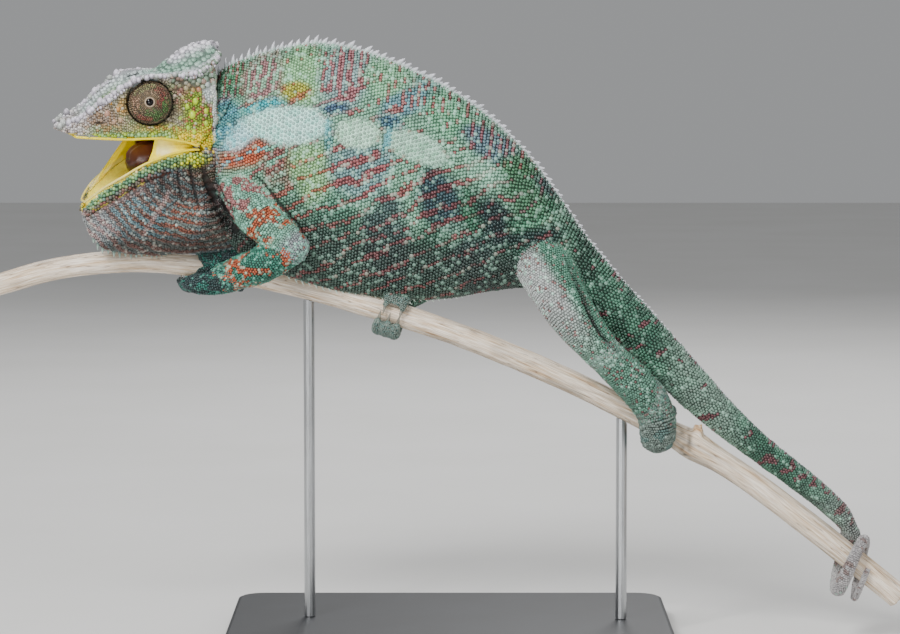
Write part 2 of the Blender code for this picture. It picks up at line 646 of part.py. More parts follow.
def make_mouth(paint_lining, paint_tongue):
    """The folded cheek lining that fills the back of the mouth, and the tongue on its floor."""
    x = np.linspace(GAPE_BACK + 0.6, MEMBRANE_FRONT, 7)
    roof = at_x(SKULL, 8, x) - MOUTH_CLEAR
    upper_lip = at_x(SKULL, 7, x) - MOUTH_CLEAR
    lower_lip = at_x(JAW, 2, x) + MOUTH_CLEAR
    floor = mouth_floor(x) + MOUTH_CLEAR
    width = at_x(JAW, 1, x) - LIP_THICK - 2 * MOUTH_CLEAR
    zero = np.zeros_like(x)
    waist = np.maximum((upper_lip + lower_lip) / 2, lower_lip)
    outline = [(zero, roof), (width * 0.5, roof), (width * 0.9, np.maximum(upper_lip, waist)),
               (width * 0.9, waist - 0.1), (width * 0.6, floor), (zero, floor)]
    half = np.stack([np.stack([x, w, z], axis=-1) for w, z in outline], axis=1)
    rings = mirrored_loft(half)
    lining = add_object("mouth_lining", head_to_world(rings.reshape(-1, 3)),
                        ring_faces(len(x), rings.shape[1]), paint_lining)
    length, half_width, half_height = TONGUE_HALF
    angles = np.linspace(math.radians(-80.0), math.radians(80.0), 7)
    x = TONGUE_X + length * np.sin(angles)
    bulge = np.cos(angles)
    path = np.stack([x, np.zeros_like(x), mouth_floor(x) + MOUTH_CLEAR + half_height * bulge], axis=-1)
    points = head_to_world(tube_points(path, half_height * bulge, half_width / half_height, (0.0, 0.0, 1.0), 8))
    tongue = add_object("tongue", points, ring_faces(len(path), 8), paint_tongue)
    return lining, tongue


# ----------------------------------------------------------------- limbs

def make_segment(name, joints, paint, flat=0.86, count=8):
    """One limb segment: a rounded, slightly flattened run through its joint points."""
    knots = np.array([point for point, _ in joints])
    radii = np.array([radius for _, radius in joints])
    places = np.linspace(0.0, len(joints) - 1.0, 5)
    path, widths = rounded_run(spline(knots, places), spline(radii, places))
    points = tube_points(path, widths, flat, (0.0, 1.0, 0.0), count)
    return add_object(name, points, ring_faces(len(path), count), paint)


def grip_path(x, slide, start, end, clearance, count):
    """Points round the branch from one angle to another; 0 is on top, positive goes to -Y."""
    centre = perch_point(x)
    along, up = perch_frame(x)
    across = np.cross(along, up)
    angles = np.radians(np.linspace(start, end, count))
    reach = perch_radius(x) + clearance
    shift = np.linspace(0.0, 1.0, count)[:, None] * slide
    return centre + reach * (np.outer(np.cos(angles), up) + np.outer(np.sin(angles), across)) + shift * along


def make_bundle(name, x, slide, start, end, thick, broad, toes, paint):
    """A mitten of fused toes bent round the branch, with a hooked claw on each toe."""
    along, _ = perch_frame(x)
    count = 7
    path = grip_path(x, slide, start, end, thick + GAP + 0.15, count)
    taper = np.array([0.80, 0.98, 1.0, 0.98, 0.92, 0.80, 0.45])
    tangent = unit(np.gradient(path, axis=0))
    side = unit(along - tangent * (tangent @ along)[:, None])
    outward = np.cross(side, tangent)
    points = oval_rings(path, outward * (thick * taper)[:, None], side * (broad * taper ** 0.6)[:, None],
                        np.full(count, 0.75), SIDES_OF_TOES)
    mitten = add_object(name, points, ring_faces(count, SIDES_OF_TOES), paint)
    claws = []
    for toe in range(toes):
        offset = broad * (toe / (toes - 1) - 0.5) * 1.25
        sweep = np.sign(end - start) * np.array([-8.0, 14.0, 32.0])
        claw = np.vstack([grip_path(x, slide, start, end + s, thick * 0.85 + GAP + 0.1, count)[-1:]
                          for s in sweep]) + along * offset
        run = tube_points(claw, (1.0, 0.75, 0.25), 1.0, along, 5)
        claws.append(add_object(name + "_claw", run, ring_faces(3, 5), paint))
    join_solids(mitten, *claws)
    return mitten


def make_limb(label, upper, lower, bundles, trunk, paints, neighbours):
    """Two limb segments and a gripping foot of two toe bundles."""
    names = {"arm": ("upper_arm", "forearm"), "leg": ("thigh", "shin")}[label.split("_")[0]]
    side = label.split("_")[1]
    top = make_segment(f"{names[0]}_{side}", upper, paints["limb"])
    cut_away(top, *trunk)
    bottom = make_segment(f"{names[1]}_{side}", lower, paints["limb"])
    cut_away(bottom, top, *neighbours, *trunk)
    done = []
    for bundle in bundles:
        foot = make_bundle(*bundle, paints["foot"])
        cut_away(foot, *neighbours, *trunk, bottom, *done)
        done.append(foot)
    return top, bottom


def main():
    """Build every piece."""
    clear_scene()
    paints = {
        "teal": material("skin_teal", (0.16, 0.30, 0.26), 0.55),
        "flank": material("skin_flank", (0.22, 0.28, 0.25), 0.55),
        "green": material("skin_green", (0.12, 0.24, 0.18), 0.55),
        "grey": material("skin_grey", (0.22, 0.23, 0.22), 0.55),
        "limb": material("skin_limb", (0.10, 0.34, 0.28), 0.55),
        "foot": material("skin_foot", (0.05, 0.14, 0.13), 0.55),
    }
    head_paint = material("skin_head", (0.42, 0.46, 0.42), 0.5)
    throat_paint = material("skin_throat", (0.20, 0.17, 0.15), 0.55)
    perch = make_perch(material("bleached_wood", (0.66, 0.54, 0.42), 0.75))
    make_stand(material("lacquered_base", (0.10, 0.10, 0.11), 0.35),
               material("steel_rod", (0.55, 0.56, 0.58), 0.3, 1.0), perch)
    body = make_body(paints)
    skull = make_skull(head_paint)
    jaw = make_lower_jaw(material("skin_jaw", (0.30, 0.42, 0.26), 0.5))
    throat = make_throat(throat_paint)
    eye_paint = material("eye_dark", (0.01, 0.01, 0.01), 0.08)
    turret_paint = material("skin_turret", (0.22, 0.20, 0.15), 0.5)
    for label, side in (("left", 1), ("right", -1)):
        turret, _ = make_turret(label, side, turret_paint, eye_paint)
        cut_away(skull, turret, solver="MANIFOLD")
    make_mouth(material("mouth_yellow", (0.85, 0.75, 0.20), 0.3),
               material("tongue_brown", (0.28, 0.07, 0.04), 0.35))
    cut_away(body["neck"], skull, throat, jaw, clear=FOLD_GAP)
    cut_away(body["trunk_front"], throat, skull, perch, clear=FOLD_GAP)
    cut_away(body["tail_coil"], perch)
    trunk_front = [body["neck"], body["trunk_front"], throat]
    trunk_rear = [body["trunk_front"], body["trunk_rear"], body["tail_root"]]
    make_limb("arm_left", LEFT_ARM, LEFT_FOREARM,
              (("hand_left_upper", -87.0, -1.0, 66.0, -62.0, 2.2, 5.6, 3),
               ("hand_left_lower", -85.0, -8.0, 96.0, 205.0, 3.0, 6.4, 2)),
              trunk_front, paints, [perch])
    make_limb("arm_right", RIGHT_ARM, RIGHT_FOREARM,
              (("hand_right_upper", -76.0, -1.0, -62.0, 58.0, 2.2, 4.4, 3),
               ("hand_right_lower", -76.5, -1.5, -100.0, -160.0, 2.1, 4.4, 2)),
              trunk_front, paints, [perch])
    make_limb("leg_left", LEFT_THIGH, LEFT_SHIN,
              (("foot_left_upper", 74.6, 1.0, 50.0, -70.0, 2.4, 4.6, 2),
               ("foot_left_lower", 76.2, 0.0, 92.0, 215.0, 2.6, 6.6, 3)),
              trunk_rear, paints, [perch])
    make_limb("leg_right", RIGHT_THIGH, RIGHT_SHIN,
              (("foot_right_upper", -20.5, 0.0, -60.0, 75.0, 2.0, 4.4, 2),
               ("foot_right_lower", -21.0, 0.0, -95.0, -235.0, 2.6, 5.2, 3)),
              trunk_rear, paints, [perch])


main()
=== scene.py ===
"""Looks of a life-size panther chameleon that grips a cut branch on a display stand.

Shapes are worked out in millimetres in the row frame: the animal faces -X, its left side
faces -Y, and +Z is up. They are turned to metres when a mesh is made.
"""

import itertools
import logging
import math
from collections.abc import Callable, Iterable
from dataclasses import dataclass, field
from enum import Enum

import bpy
import numpy as np
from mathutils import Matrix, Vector
from mathutils.bvhtree import BVHTree
from mathutils.kdtree import KDTree


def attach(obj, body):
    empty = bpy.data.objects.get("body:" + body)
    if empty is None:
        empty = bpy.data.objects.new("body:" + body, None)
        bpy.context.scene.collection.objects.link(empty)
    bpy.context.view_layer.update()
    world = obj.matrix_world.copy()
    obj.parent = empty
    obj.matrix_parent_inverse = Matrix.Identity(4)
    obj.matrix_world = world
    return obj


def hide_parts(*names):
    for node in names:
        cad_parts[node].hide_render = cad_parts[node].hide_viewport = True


Array = np.ndarray
LOG = logging.getLogger("chameleon")
Field = Callable[[Array, Array, Array], Array]    # roots, outline places, shares of the run
MM = 0.001
ROW_STEP = 0.866        # staggered rows lie this share of the pitch apart
COUNT_STEP = 1.06       # a row's count changes by steps of 6 %
CROWD_LIMIT = 0.7       # rows closer than this share of their step lose spots
CROWD_KEEP = 1.05
# Places on the head's outline, from 0 at the roof's middle to 1 at the palate's: top of the lip
# plates, and where scales end at the lip before and behind the mouth's corner.
PLATE_TOP, LIP_EDGE, LIP_BACK = 0.585, 0.655, 0.74
# Places on the lower jaw's outline, from 0 on the mouth's floor to 1 on the keel: just outside the
# lip's crest, and the top of the pouch.
JAW_LIP, POUCH_TOP = 0.31, 0.53
# Columns of the skull's and the lower jaw's tables.
UPPER_LIP_W, UPPER_LIP_Z = 6, 7
LOWER_LIP_W, LOWER_LIP_Z = 1, 2

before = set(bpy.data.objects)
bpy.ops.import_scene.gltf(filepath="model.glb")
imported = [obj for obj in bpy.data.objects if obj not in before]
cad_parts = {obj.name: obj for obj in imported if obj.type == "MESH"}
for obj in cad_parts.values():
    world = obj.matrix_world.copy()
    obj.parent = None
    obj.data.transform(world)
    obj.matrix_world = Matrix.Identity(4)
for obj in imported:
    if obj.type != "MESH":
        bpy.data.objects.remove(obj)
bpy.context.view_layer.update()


# ------------------------------------------------------------------ numbers and curves

def unit(vectors: Array) -> Array:
    """Vectors scaled to length 1."""
    return vectors / np.maximum(np.linalg.norm(vectors, axis=-1, keepdims=True), 1e-9)


def ease(values: Array, low: float, high: float) -> Array:
    """A smooth step: 0 at `low`, 1 at `high`, with the cubic 3t^2 - 2t^3 between."""
    t = np.clip((np.asarray(values, dtype=float) - low) / (high - low), 0.0, 1.0)
    return t * t * (3.0 - 2.0 * t)


def spline(knots: Array, places: Array) -> Array:
    """A smooth curve through evenly numbered knots, read at the given places.

    Each stretch is a cubic whose slope at a knot is half the step between its neighbours.

    Args:
        knots: One row for each knot.
        places: Knot numbers, whole or between.
    Returns:
        One row for each place.
    """
    knots = np.asarray(knots, dtype=float)
    last = len(knots) - 1
    padded = np.concatenate([[2 * knots[0] - knots[1]], knots, [2 * knots[-1] - knots[-2]]])
    index = np.clip(np.floor(places).astype(int), 0, last - 1)
    t = (np.asarray(places) - index).reshape((-1,) + (1,) * (knots.ndim - 1))
    a, b, c, d = (padded[index + k] for k in range(4))
    return b + 0.5 * t * (c - a + t * (2 * a - 5 * b + 4 * c - d + t * (3 * (b - c) + d - a)))


def sampled(knots: tuple | Array, count: int) -> Array:
    """The smooth curve through all knots, read at `count` evenly numbered places."""
    return spline(np.array(knots), np.linspace(0.0, len(knots) - 1.0, count))


def graded(share: Array, values: tuple | Array) -> Array:
    """Values given at even shares from 0 to 1, read at other shares."""
    return np.interp(share, np.linspace(0.0, 1.0, len(values)), values)


def square_to(normal: Array, along: Array) -> Array:
    """The part of `along` that lies square to `normal`, at length 1."""
    return unit(along - normal * np.sum(along * normal, axis=1, keepdims=True))


def round_spline(rings: Array, columns: int) -> Array:
    """Closed smooth curves through each ring's points, read at evenly numbered places.

    Args:
        rings: Shape (rings, points, channels), where each ring closes on itself.
        columns: Points wanted on each ring.
    Returns:
        Shape (rings, columns, channels).
    """
    points = rings.shape[1]
    places = np.arange(columns) * points / columns
    index = np.floor(places).astype(int)
    t = (places - index)[None, :, None]
    a, b, c, d = (rings[:, (index + k) % points] for k in (-1, 0, 1, 2))
    return b + 0.5 * t * (c - a + t * (2 * a - 5 * b + 4 * c - d + t * (3 * (b - c) + d - a)))


def noise(points: Array, cell: float, seed: int = 0) -> Array:
    """Smooth value noise from -1 to 1.

    Every corner of a cubic lattice of `cell` mm gets a hashed number, and a point takes the
    smooth-stepped blend of its eight corners.
    """
    scaled = np.asarray(points, dtype=float) / cell + 1000.0
    base = np.floor(scaled).astype(np.int64)
    t = scaled - base
    t = t * t * (3.0 - 2.0 * t)
    total = np.zeros(scaled.shape[:-1])
    for corner in itertools.product((0, 1), repeat=3):
        mixed = (base + np.array(corner)) @ np.array([374761393, 668265263, 974634777])
        mixed = (mixed + seed * 144665) & 0xFFFFFFFF
        mixed = ((mixed ^ (mixed >> 13)) * 1274126177) & 0xFFFFFFFF
        value = ((mixed ^ (mixed >> 16)) & 0xFFFF) / 32767.5 - 1.0
        total += value * np.prod(np.where(np.array(corner) == 1, t, 1.0 - t), axis=-1)
    return total


def linear(code: str) -> Array:
    """An sRGB hex colour as linear red, green and blue."""
    values = np.array([int(code[i:i + 2], 16) for i in (1, 3, 5)]) / 255.0
    return np.where(values <= 0.04045, values / 12.92, ((values + 0.055) / 1.055) ** 2.4)


def toward(tone: Array, goal: str | Array, weight: Array) -> Array:
    """Colours moved towards a hex tone, or towards other colours, by one share for each."""
    weight = weight[:, None] if weight.ndim == 1 else weight
    return tone + ((linear(goal) if isinstance(goal, str) else goal) - tone) * weight


def tinted(main: Array, accent: Array, goals: tuple[str, str], weight: Array) -> tuple[Array, Array]:
    """Main and accent tones, both moved towards their own hex tone by the same share."""
    return toward(main, goals[0], weight), toward(accent, goals[1], weight)


# ------------------------------------------------------------------ meshes

def new_object(name: str, points: Array, faces: list[Array], material: bpy.types.Material,
               smooth: bool = True) -> bpy.types.Object:
    """An object at the origin from points in millimetres.

    Args:
        name: The piece's name.
        points: Shape (points, 3).
        faces: Index arrays, each of shape (faces, corners).
        material: The piece's finish.
        smooth: Whether the faces are shaded smooth.
    Returns:
        The linked object.
    """
    mesh = bpy.data.meshes.new(name)
    corners = np.concatenate([block.ravel() for block in faces])
    sizes = np.concatenate([np.full(len(block), block.shape[1]) for block in faces])
    starts = np.concatenate([[0], np.cumsum(sizes)[:-1]])
    mesh.vertices.add(len(points))
    mesh.vertices.foreach_set("co", (np.asarray(points) * MM).astype(np.float32).ravel())
    mesh.loops.add(len(corners))
    mesh.loops.foreach_set("vertex_index", corners.astype(np.int32))
    mesh.polygons.add(len(sizes))
    mesh.polygons.foreach_set("loop_start", starts.astype(np.int32))
    mesh.polygons.foreach_set("loop_total", sizes.astype(np.int32))
    mesh.polygons.foreach_set("use_smooth", np.full(len(sizes), smooth))
    mesh.update(calc_edges=True)
    mesh.materials.append(material)
    made = bpy.data.objects.new(name, mesh)
    bpy.context.scene.collection.objects.link(made)
    return made


def mesh_points(mesh: bpy.types.Mesh) -> Array:
    """A mesh's points in millimetres."""
    flat = np.zeros(len(mesh.vertices) * 3, np.float32)
    mesh.vertices.foreach_get("co", flat)
    return flat.reshape(-1, 3).astype(float) / MM


def mesh_normals(mesh: bpy.types.Mesh) -> Array:
    """A mesh's normals at its points."""
    flat = np.zeros(len(mesh.vertices) * 3, np.float32)
    mesh.vertices.foreach_get("normal", flat)
    return flat.reshape(-1, 3).astype(float)


def set_colour(made: bpy.types.Object, tones: Array, name: str = "tone") -> None:
    """Store one linear colour for each point of a mesh."""
    layer = made.data.color_attributes.new(name, "FLOAT_COLOR", "POINT")
    full = np.concatenate([np.clip(tones, 0.0, 1.0), np.ones((len(tones), 1))], axis=1)
    layer.data.foreach_set("color", full.astype(np.float32).ravel())


def set_value(made: bpy.types.Object, name: str, values: Array) -> None:
    """Store one number, or one vector, for each point of a mesh."""
    kind = "FLOAT" if values.ndim == 1 else "FLOAT_VECTOR"
    layer = made.data.attributes.new(name, kind, "POINT")
    layer.data.foreach_set("value" if values.ndim == 1 else "vector", values.astype(np.float32).ravel())


def set_map(made: bpy.types.Object, name: str, spots: Array) -> None:
    """Store a UV map from one spot for each point."""
    corners = np.zeros(len(made.data.loops), np.int32)
    made.data.loops.foreach_get("vertex_index", corners)
    layer = made.data.uv_layers.new(name=name)
    layer.data.foreach_set("uv", spots[corners].astype(np.float32).ravel())


def place(made: bpy.types.Object, slot: str, *nodes: str) -> bpy.types.Object:
    """Let a piece ride on the one body and hide the solids it stands for."""
    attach(made, "root")
    if nodes:
        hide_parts(*nodes)
    LOG.info("%s: %d faces", made.name, len(made.data.polygons))
    return made


@dataclass
class Shell:
    """A closed form from rings: a grid of points that wraps round and is capped at both ends.

    `grid` has shape (rings, columns, 4): a point in millimetres, and its place on the outline,
    from 0 on the upper middle line to 1 on the lower one.
    """

    name: str
    grid: Array

    def even(self, rings: int, columns: int) -> "Shell":
        """The same form with its points spread evenly along and round it, by arc length."""
        steps = np.linalg.norm(np.diff(self.grid[..., :3], axis=0), axis=-1).mean(axis=1)
        run = np.concatenate([[0.0], np.cumsum(steps)])
        rows = np.interp(np.linspace(0.0, run[-1], rings), run, np.arange(len(run)))
        low = np.clip(np.floor(rows).astype(int), 0, len(run) - 2)
        share = (rows - low)[:, None, None]
        grid = self.grid[low] * (1.0 - share) + self.grid[low + 1] * share
        closed = np.concatenate([grid, grid[:, :1]], axis=1)
        around = np.linalg.norm(np.diff(closed[..., :3], axis=1), axis=-1)
        travelled = np.concatenate([np.zeros((rings, 1)), np.cumsum(around, axis=1)], axis=1)
        out = np.zeros((rings, columns, 4))
        for ring in range(rings):
            spots = np.linspace(0.0, travelled[ring, -1], columns, endpoint=False)
            where = np.interp(spots, travelled[ring], np.arange(closed.shape[1]))
            left = np.clip(np.floor(where).astype(int), 0, closed.shape[1] - 2)
            t = (where - left)[:, None]
            out[ring] = closed[ring, left] * (1.0 - t) + closed[ring, left + 1] * t
        return Shell(self.name, out)

    def normals(self) -> Array:
        """Outward directions: the cross product of the steps round and along the form."""
        points = self.grid[..., :3]
        along = np.gradient(points, axis=0)
        around = np.roll(points, -1, axis=1) - np.roll(points, 1, axis=1)
        normal = unit(np.cross(around, along))
        away = points - points.mean(axis=1, keepdims=True)
        return normal if np.sum(normal * away) > 0 else -normal

    def inset(self, depth: float | Array) -> "Shell":
        """The form drawn in by `depth` mm along its normals."""
        grid = self.grid.copy()
        grid[..., :3] -= self.normals() * depth
        return Shell(self.name, grid)

    def solid(self) -> tuple[Array, list[Array]]:
        """Points and outward faces of the closed form, with a fan at each end."""
        rings, columns = self.grid.shape[:2]
        points = self.grid[..., :3].reshape(-1, 3)
        ends = self.grid[[0, -1], :, :3].mean(axis=1)
        ring, column = np.meshgrid(np.arange(rings - 1), np.arange(columns), indexing="ij")
        after = (column + 1) % columns
        quads = np.stack([ring * columns + column, ring * columns + after,
                          (ring + 1) * columns + after, (ring + 1) * columns + column], axis=-1)
        side = np.arange(columns)
        nearby = (side + 1) % columns
        top = (rings - 1) * columns
        first = np.stack([np.full(columns, len(points)), nearby, side], axis=-1)
        last = np.stack([np.full(columns, len(points) + 1), top + side, top + nearby], axis=-1)
        faces = [quads.reshape(-1, 4), first, last]
        points = np.concatenate([points, ends])
        corner = points[faces[0]]
        way = np.cross(corner[:, 1] - corner[:, 0], corner[:, 2] - corner[:, 0])
        if np.sum(way * self.normals()[:-1].reshape(-1, 3)) < 0:
            faces = [block[:, ::-1] for block in faces]
        return points, faces

    def at(self, rows: Array, columns: Array) -> Array:
        """The grid's four channels between its points; columns wrap round."""
        rings, count = self.grid.shape[:2]
        low = np.clip(np.floor(rows).astype(int), 0, rings - 2)
        r = np.clip(rows - low, 0.0, 1.0)[:, None]
        left = np.floor(columns).astype(int)
        c = (columns - left)[:, None]
        left, right = left % count, (left + 1) % count
        return ((self.grid[low, left] * (1 - r) + self.grid[low + 1, left] * r) * (1 - c)
                + (self.grid[low, right] * (1 - r) + self.grid[low + 1, right] * r) * c)

    def normal_at(self, rows: Array, columns: Array) -> Array:
        """Outward directions between the grid's points."""
        extra = np.zeros(self.grid.shape[:2] + (1,))
        field_of_normals = Shell(self.name, np.concatenate([self.normals(), extra], axis=-1))
        return unit(field_of_normals.at(rows, columns)[:, :3])

    def lattice(self, pitch: Array, rng: np.random.Generator, loose: float = 0.16) -> Array:
        """Rows and columns of staggered spots, as scales sit.

        Rows lie ROW_STEP of the pitch apart, every second one is moved on by half a step, and each
        row holds its girth over the pitch, rounded to steps of 6 % so that long runs of rows match.
        Where rows crowd together some spots are left out.

        Args:
            pitch: Distance between neighbours in mm, at evenly spaced places from first ring to last.
            rng: Source of the small shifts.
            loose: Size of the shifts as a share of the pitch.
        Returns:
            Shape (spots, 2): ring and column numbers.
        """
        rings, columns = self.grid.shape[:2]
        points = self.grid[..., :3]
        steps = np.linalg.norm(np.diff(points, axis=0), axis=-1).mean(axis=1)
        girths = np.linalg.norm(points - np.roll(points, 1, axis=1), axis=-1).sum(axis=1)
        sizes = np.interp(np.linspace(0.0, 1.0, rings), np.linspace(0.0, 1.0, len(pitch)), pitch)
        fill = np.concatenate([[0.0], np.cumsum(steps / (ROW_STEP * (sizes[1:] + sizes[:-1]) / 2))])
        rows = np.interp(np.arange(0.5, fill[-1]), fill, np.arange(rings))
        girth = np.interp(rows, np.arange(rings), girths)
        ratio = np.log(girth / np.interp(rows, np.arange(rings), sizes)) / np.log(COUNT_STEP)
        counts = np.maximum(np.round(COUNT_STEP ** np.round(ratio)).astype(int), 5)
        index = np.repeat(np.arange(len(rows)), counts)
        spot = np.arange(len(index)) - np.repeat(np.cumsum(counts) - counts, counts)
        drift = rng.uniform(-loose, loose, (len(index), 2))
        column = (spot + 0.5 * (index % 2) + drift[:, 0]) / counts[index] * columns
        step = np.gradient(rows)[index]
        row = np.clip(rows[index] + drift[:, 1] * step, 0.0, rings - 1.0)
        ahead = self.at(np.minimum(row + step, rings - 1.0), column)[:, :3]
        gap = np.linalg.norm(ahead - self.at(np.maximum(row - step, 0.0), column)[:, :3], axis=1) / 2
        crowded = gap / (ROW_STEP * np.interp(row, np.arange(rings), sizes))
        chosen = rng.random(len(row)) < np.where(crowded < CROWD_LIMIT, crowded * CROWD_KEEP, 1.0)
        return np.stack([row[chosen], column[chosen]], axis=1)


def merged(shells: Iterable[Shell]) -> tuple[Array, list[Array]]:
    """Points and faces of several closed forms as one block."""
    blocks, faces, start = [], [], 0
    for shell in shells:
        points, parts = shell.solid()
        blocks.append(points)
        faces += [part + start for part in parts]
        start += len(points)
    return np.concatenate(blocks), faces


def move_points(mesh: bpy.types.Mesh, points: Array) -> None:
    """Put a mesh's points at new places in millimetres."""
    mesh.vertices.foreach_set("co", (points * MM).astype(np.float32).ravel())
    mesh.update()


def fused(name: str, shells: Iterable[Shell], voxel: float, passes: int,
          material: bpy.types.Material) -> bpy.types.Object:
    """One closed form over several shells: a voxel remesh, then a few passes of smoothing.

    Args:
        name: The piece's name.
        shells: Forms that cross each other.
        voxel: Size of a voxel in mm.
        passes: How often the points are smoothed.
        material: The finish.
    Returns:
        The linked object.
    """
    rough = new_object(f"{name}_rough", *merged(shells), material)
    step = rough.modifiers.new("join", "REMESH")
    step.mode = "VOXEL"
    step.voxel_size = voxel * MM
    step.use_smooth_shade = True
    soft = rough.modifiers.new("soften", "SMOOTH")
    soft.factor = 0.5
    soft.iterations = passes
    graph = bpy.context.evaluated_depsgraph_get()
    mesh = bpy.data.meshes.new_from_object(rough.evaluated_get(graph))
    bpy.data.objects.remove(rough, do_unlink=True)
    mesh.name = name
    mesh.materials.clear()
    mesh.materials.append(material)
    made = bpy.data.objects.new(name, mesh)
    bpy.context.scene.collection.objects.link(made)
    return made


def groove_shade(tone: Array, dark: float, pale: float) -> Array:
    """Share of a scale's tone kept at its foot and in the skin round it: painted shade in the grooves between
    scales, less of it round pale scales, which stand in paler skin.
    """
    return dark + (pale - dark) * ease(tone.mean(axis=-1, keepdims=True), 0.14, 0.48)


@dataclass
class Scales:
    """Many scales: one row of each array stands for one scale."""

    root: Array
    normal: Array
    along: Array
    radius: Array
    height: Array
    stretch: Array
    lean: Array
    tone: Array
    # Tone of the skin round the scale, with painted shade from folds and from the groove at its foot.
    ground: Array
    spot: Array
    # Share of the tone at the base ring: painted shade in the groove at the scale's foot where it is below 1,
    # paler skin where it is above 1.
    foot: Array

    def pick(self, chosen: Array) -> "Scales":
        """The chosen scales."""
        return Scales(*(getattr(self, name)[chosen] for name in self.__dataclass_fields__))

    @staticmethod
    def join(groups: list["Scales"]) -> "Scales":
        """All scales of several groups."""
        names = Scales.__dataclass_fields__
        return Scales(*(np.concatenate([getattr(group, name) for group in groups]) for name in names))

    def mesh(self, name: str, material: bpy.types.Material, sides: int = 6,
             peak: float = 0.0) -> bpy.types.Object:
        """One mesh of closed pebbles or cones.

        A scale is three stacked rings and a tip: a base ring sunk into the skin, a shoulder ring,
        and a point. Ring points are root + along * r cos(a) + across * r sin(a) + normal * h, and the
        upper ones move along by the lean.

        Args:
            name: The piece's name.
            material: Its finish.
            sides: Corners of a ring.
            peak: 0 for a pebble, 1 for a straight-sided cone.
        Returns:
            The object, with its colours and its OFBake map.
        """
        across = np.cross(self.normal, self.along)
        turn = 2 * np.pi * (np.arange(sides) + 0.5) / sides
        shoulder = 0.79 - 0.29 * peak
        rings = ((1.0, -0.35, 0.0), (shoulder, 0.62 - 0.12 * peak, 0.45))
        blocks, tints, spots = [], [], []
        patch = 0.0015
        # The base ring takes the foot's share of the tone, which below 1 is painted shade in the groove at
        # the scale's foot; the shoulder ring takes 0.95 of it, painted shade on the scale's flank.
        for (wide, high, slide), shade in zip(rings, (self.foot[:, None], 0.95)):
            out = (self.along[:, None] * (np.cos(turn) * wide)[None, :, None] * self.stretch[:, None, None]
                   + across[:, None] * (np.sin(turn) * wide)[None, :, None]) * self.radius[:, None, None]
            rise = self.normal * (self.height * high)[:, None]
            push = self.along * (self.lean * slide)[:, None]
            blocks.append(self.root[:, None] + out + (rise + push)[:, None])
            tints.append(np.repeat((self.tone * shade)[:, None], sides, axis=1))
            circle = np.stack([np.cos(turn), np.sin(turn)], axis=-1) * wide * patch
            spots.append(self.spot[:, None] + circle[None])
        # The point is 14 % paler than the tone: a painted highlight on each scale's crown.
        blocks.append((self.root + self.normal * self.height[:, None]
                       + self.along * self.lean[:, None])[:, None])
        tints.append(self.tone[:, None] * 1.14)
        spots.append(self.spot[:, None])
        points = np.concatenate(blocks, axis=1)
        size = points.shape[1]
        side = np.arange(sides)
        nearby = (side + 1) % sides
        wall = np.stack([side, nearby, sides + nearby, sides + side], axis=-1)
        cap = np.stack([sides + side, sides + nearby, np.full(sides, 2 * sides)], axis=-1)
        floor = side[::-1][None]
        offsets = (np.arange(len(points)) * size)[:, None, None]
        faces = [(block[None] + offsets).reshape(-1, block.shape[1]) for block in (wall, cap, floor)]
        made = new_object(name, points.reshape(-1, 3), faces, material)
        set_colour(made, np.concatenate(tints, axis=1).reshape(-1, 3))
        set_map(made, "OFBake", np.concatenate(spots, axis=1).reshape(-1, 2))
        return made


def spines(name: str, root: Array, normal: Array, along: Array, height: Array, width: Array,
           hook: Array, tones: tuple, material: bpy.types.Material, flat: float = 0.6) -> bpy.types.Object:
    """Curved horny cones: rings of width w (1 - s)^0.8 along root + normal h s + along k s^2.

    Args:
        name: The piece's name.
        root: Middle of each base in mm.
        normal: The way each spine stands.
        along: The way its tip leans.
        height: Length in mm.
        width: Half width of the base along the row in mm.
        hook: How far the tip leans in mm.
        tones: Colours of base and tip, one row for each spine.
        material: The finish.
        flat: Thickness over width.
    Returns:
        The object.
    """
    sides, steps = 8, np.array([-0.25, 0.0, 0.22, 0.45, 0.66, 0.84])
    along = square_to(normal, along)
    across = np.cross(normal, along)
    turn = 2 * np.pi * np.arange(sides) / sides
    blocks, tints = [], []
    for step in steps:
        wide = (width * (1.0 - max(step, 0.0)) ** 0.8)[:, None, None]
        middle = root + normal * (height * step)[:, None] + along * (hook * max(step, 0.0) ** 2)[:, None]
        blocks.append(middle[:, None] + wide * (along[:, None] * np.cos(turn)[None, :, None]
                                                + across[:, None] * (flat * np.sin(turn))[None, :, None]))
        tone = tones[0] + (tones[1] - tones[0]) * float(ease(step, 0.0, 0.7))
        tints.append(np.repeat(tone[:, None], sides, axis=1))
    blocks.append((root + normal * height[:, None] + along * hook[:, None])[:, None])
    tints.append(tones[1][:, None])
    points = np.concatenate(blocks, axis=1)
    size, last = points.shape[1], (len(steps) - 1) * sides
    side = np.arange(sides)
    nearby = (side + 1) % sides
    walls = np.concatenate([np.stack([side, nearby, sides + nearby, sides + side], axis=-1) + ring * sides
                            for ring in range(len(steps) - 1)])
    cap = np.stack([last + side, last + nearby, np.full(sides, size - 1)], axis=-1)
    offsets = (np.arange(len(points)) * size)[:, None, None]
    faces = [(block[None] + offsets).reshape(-1, block.shape[1]) for block in (walls, cap, side[::-1][None])]
    made = new_object(name, points.reshape(-1, 3), faces, material)
    set_colour(made, np.concatenate(tints, axis=1).reshape(-1, 3))
    return made


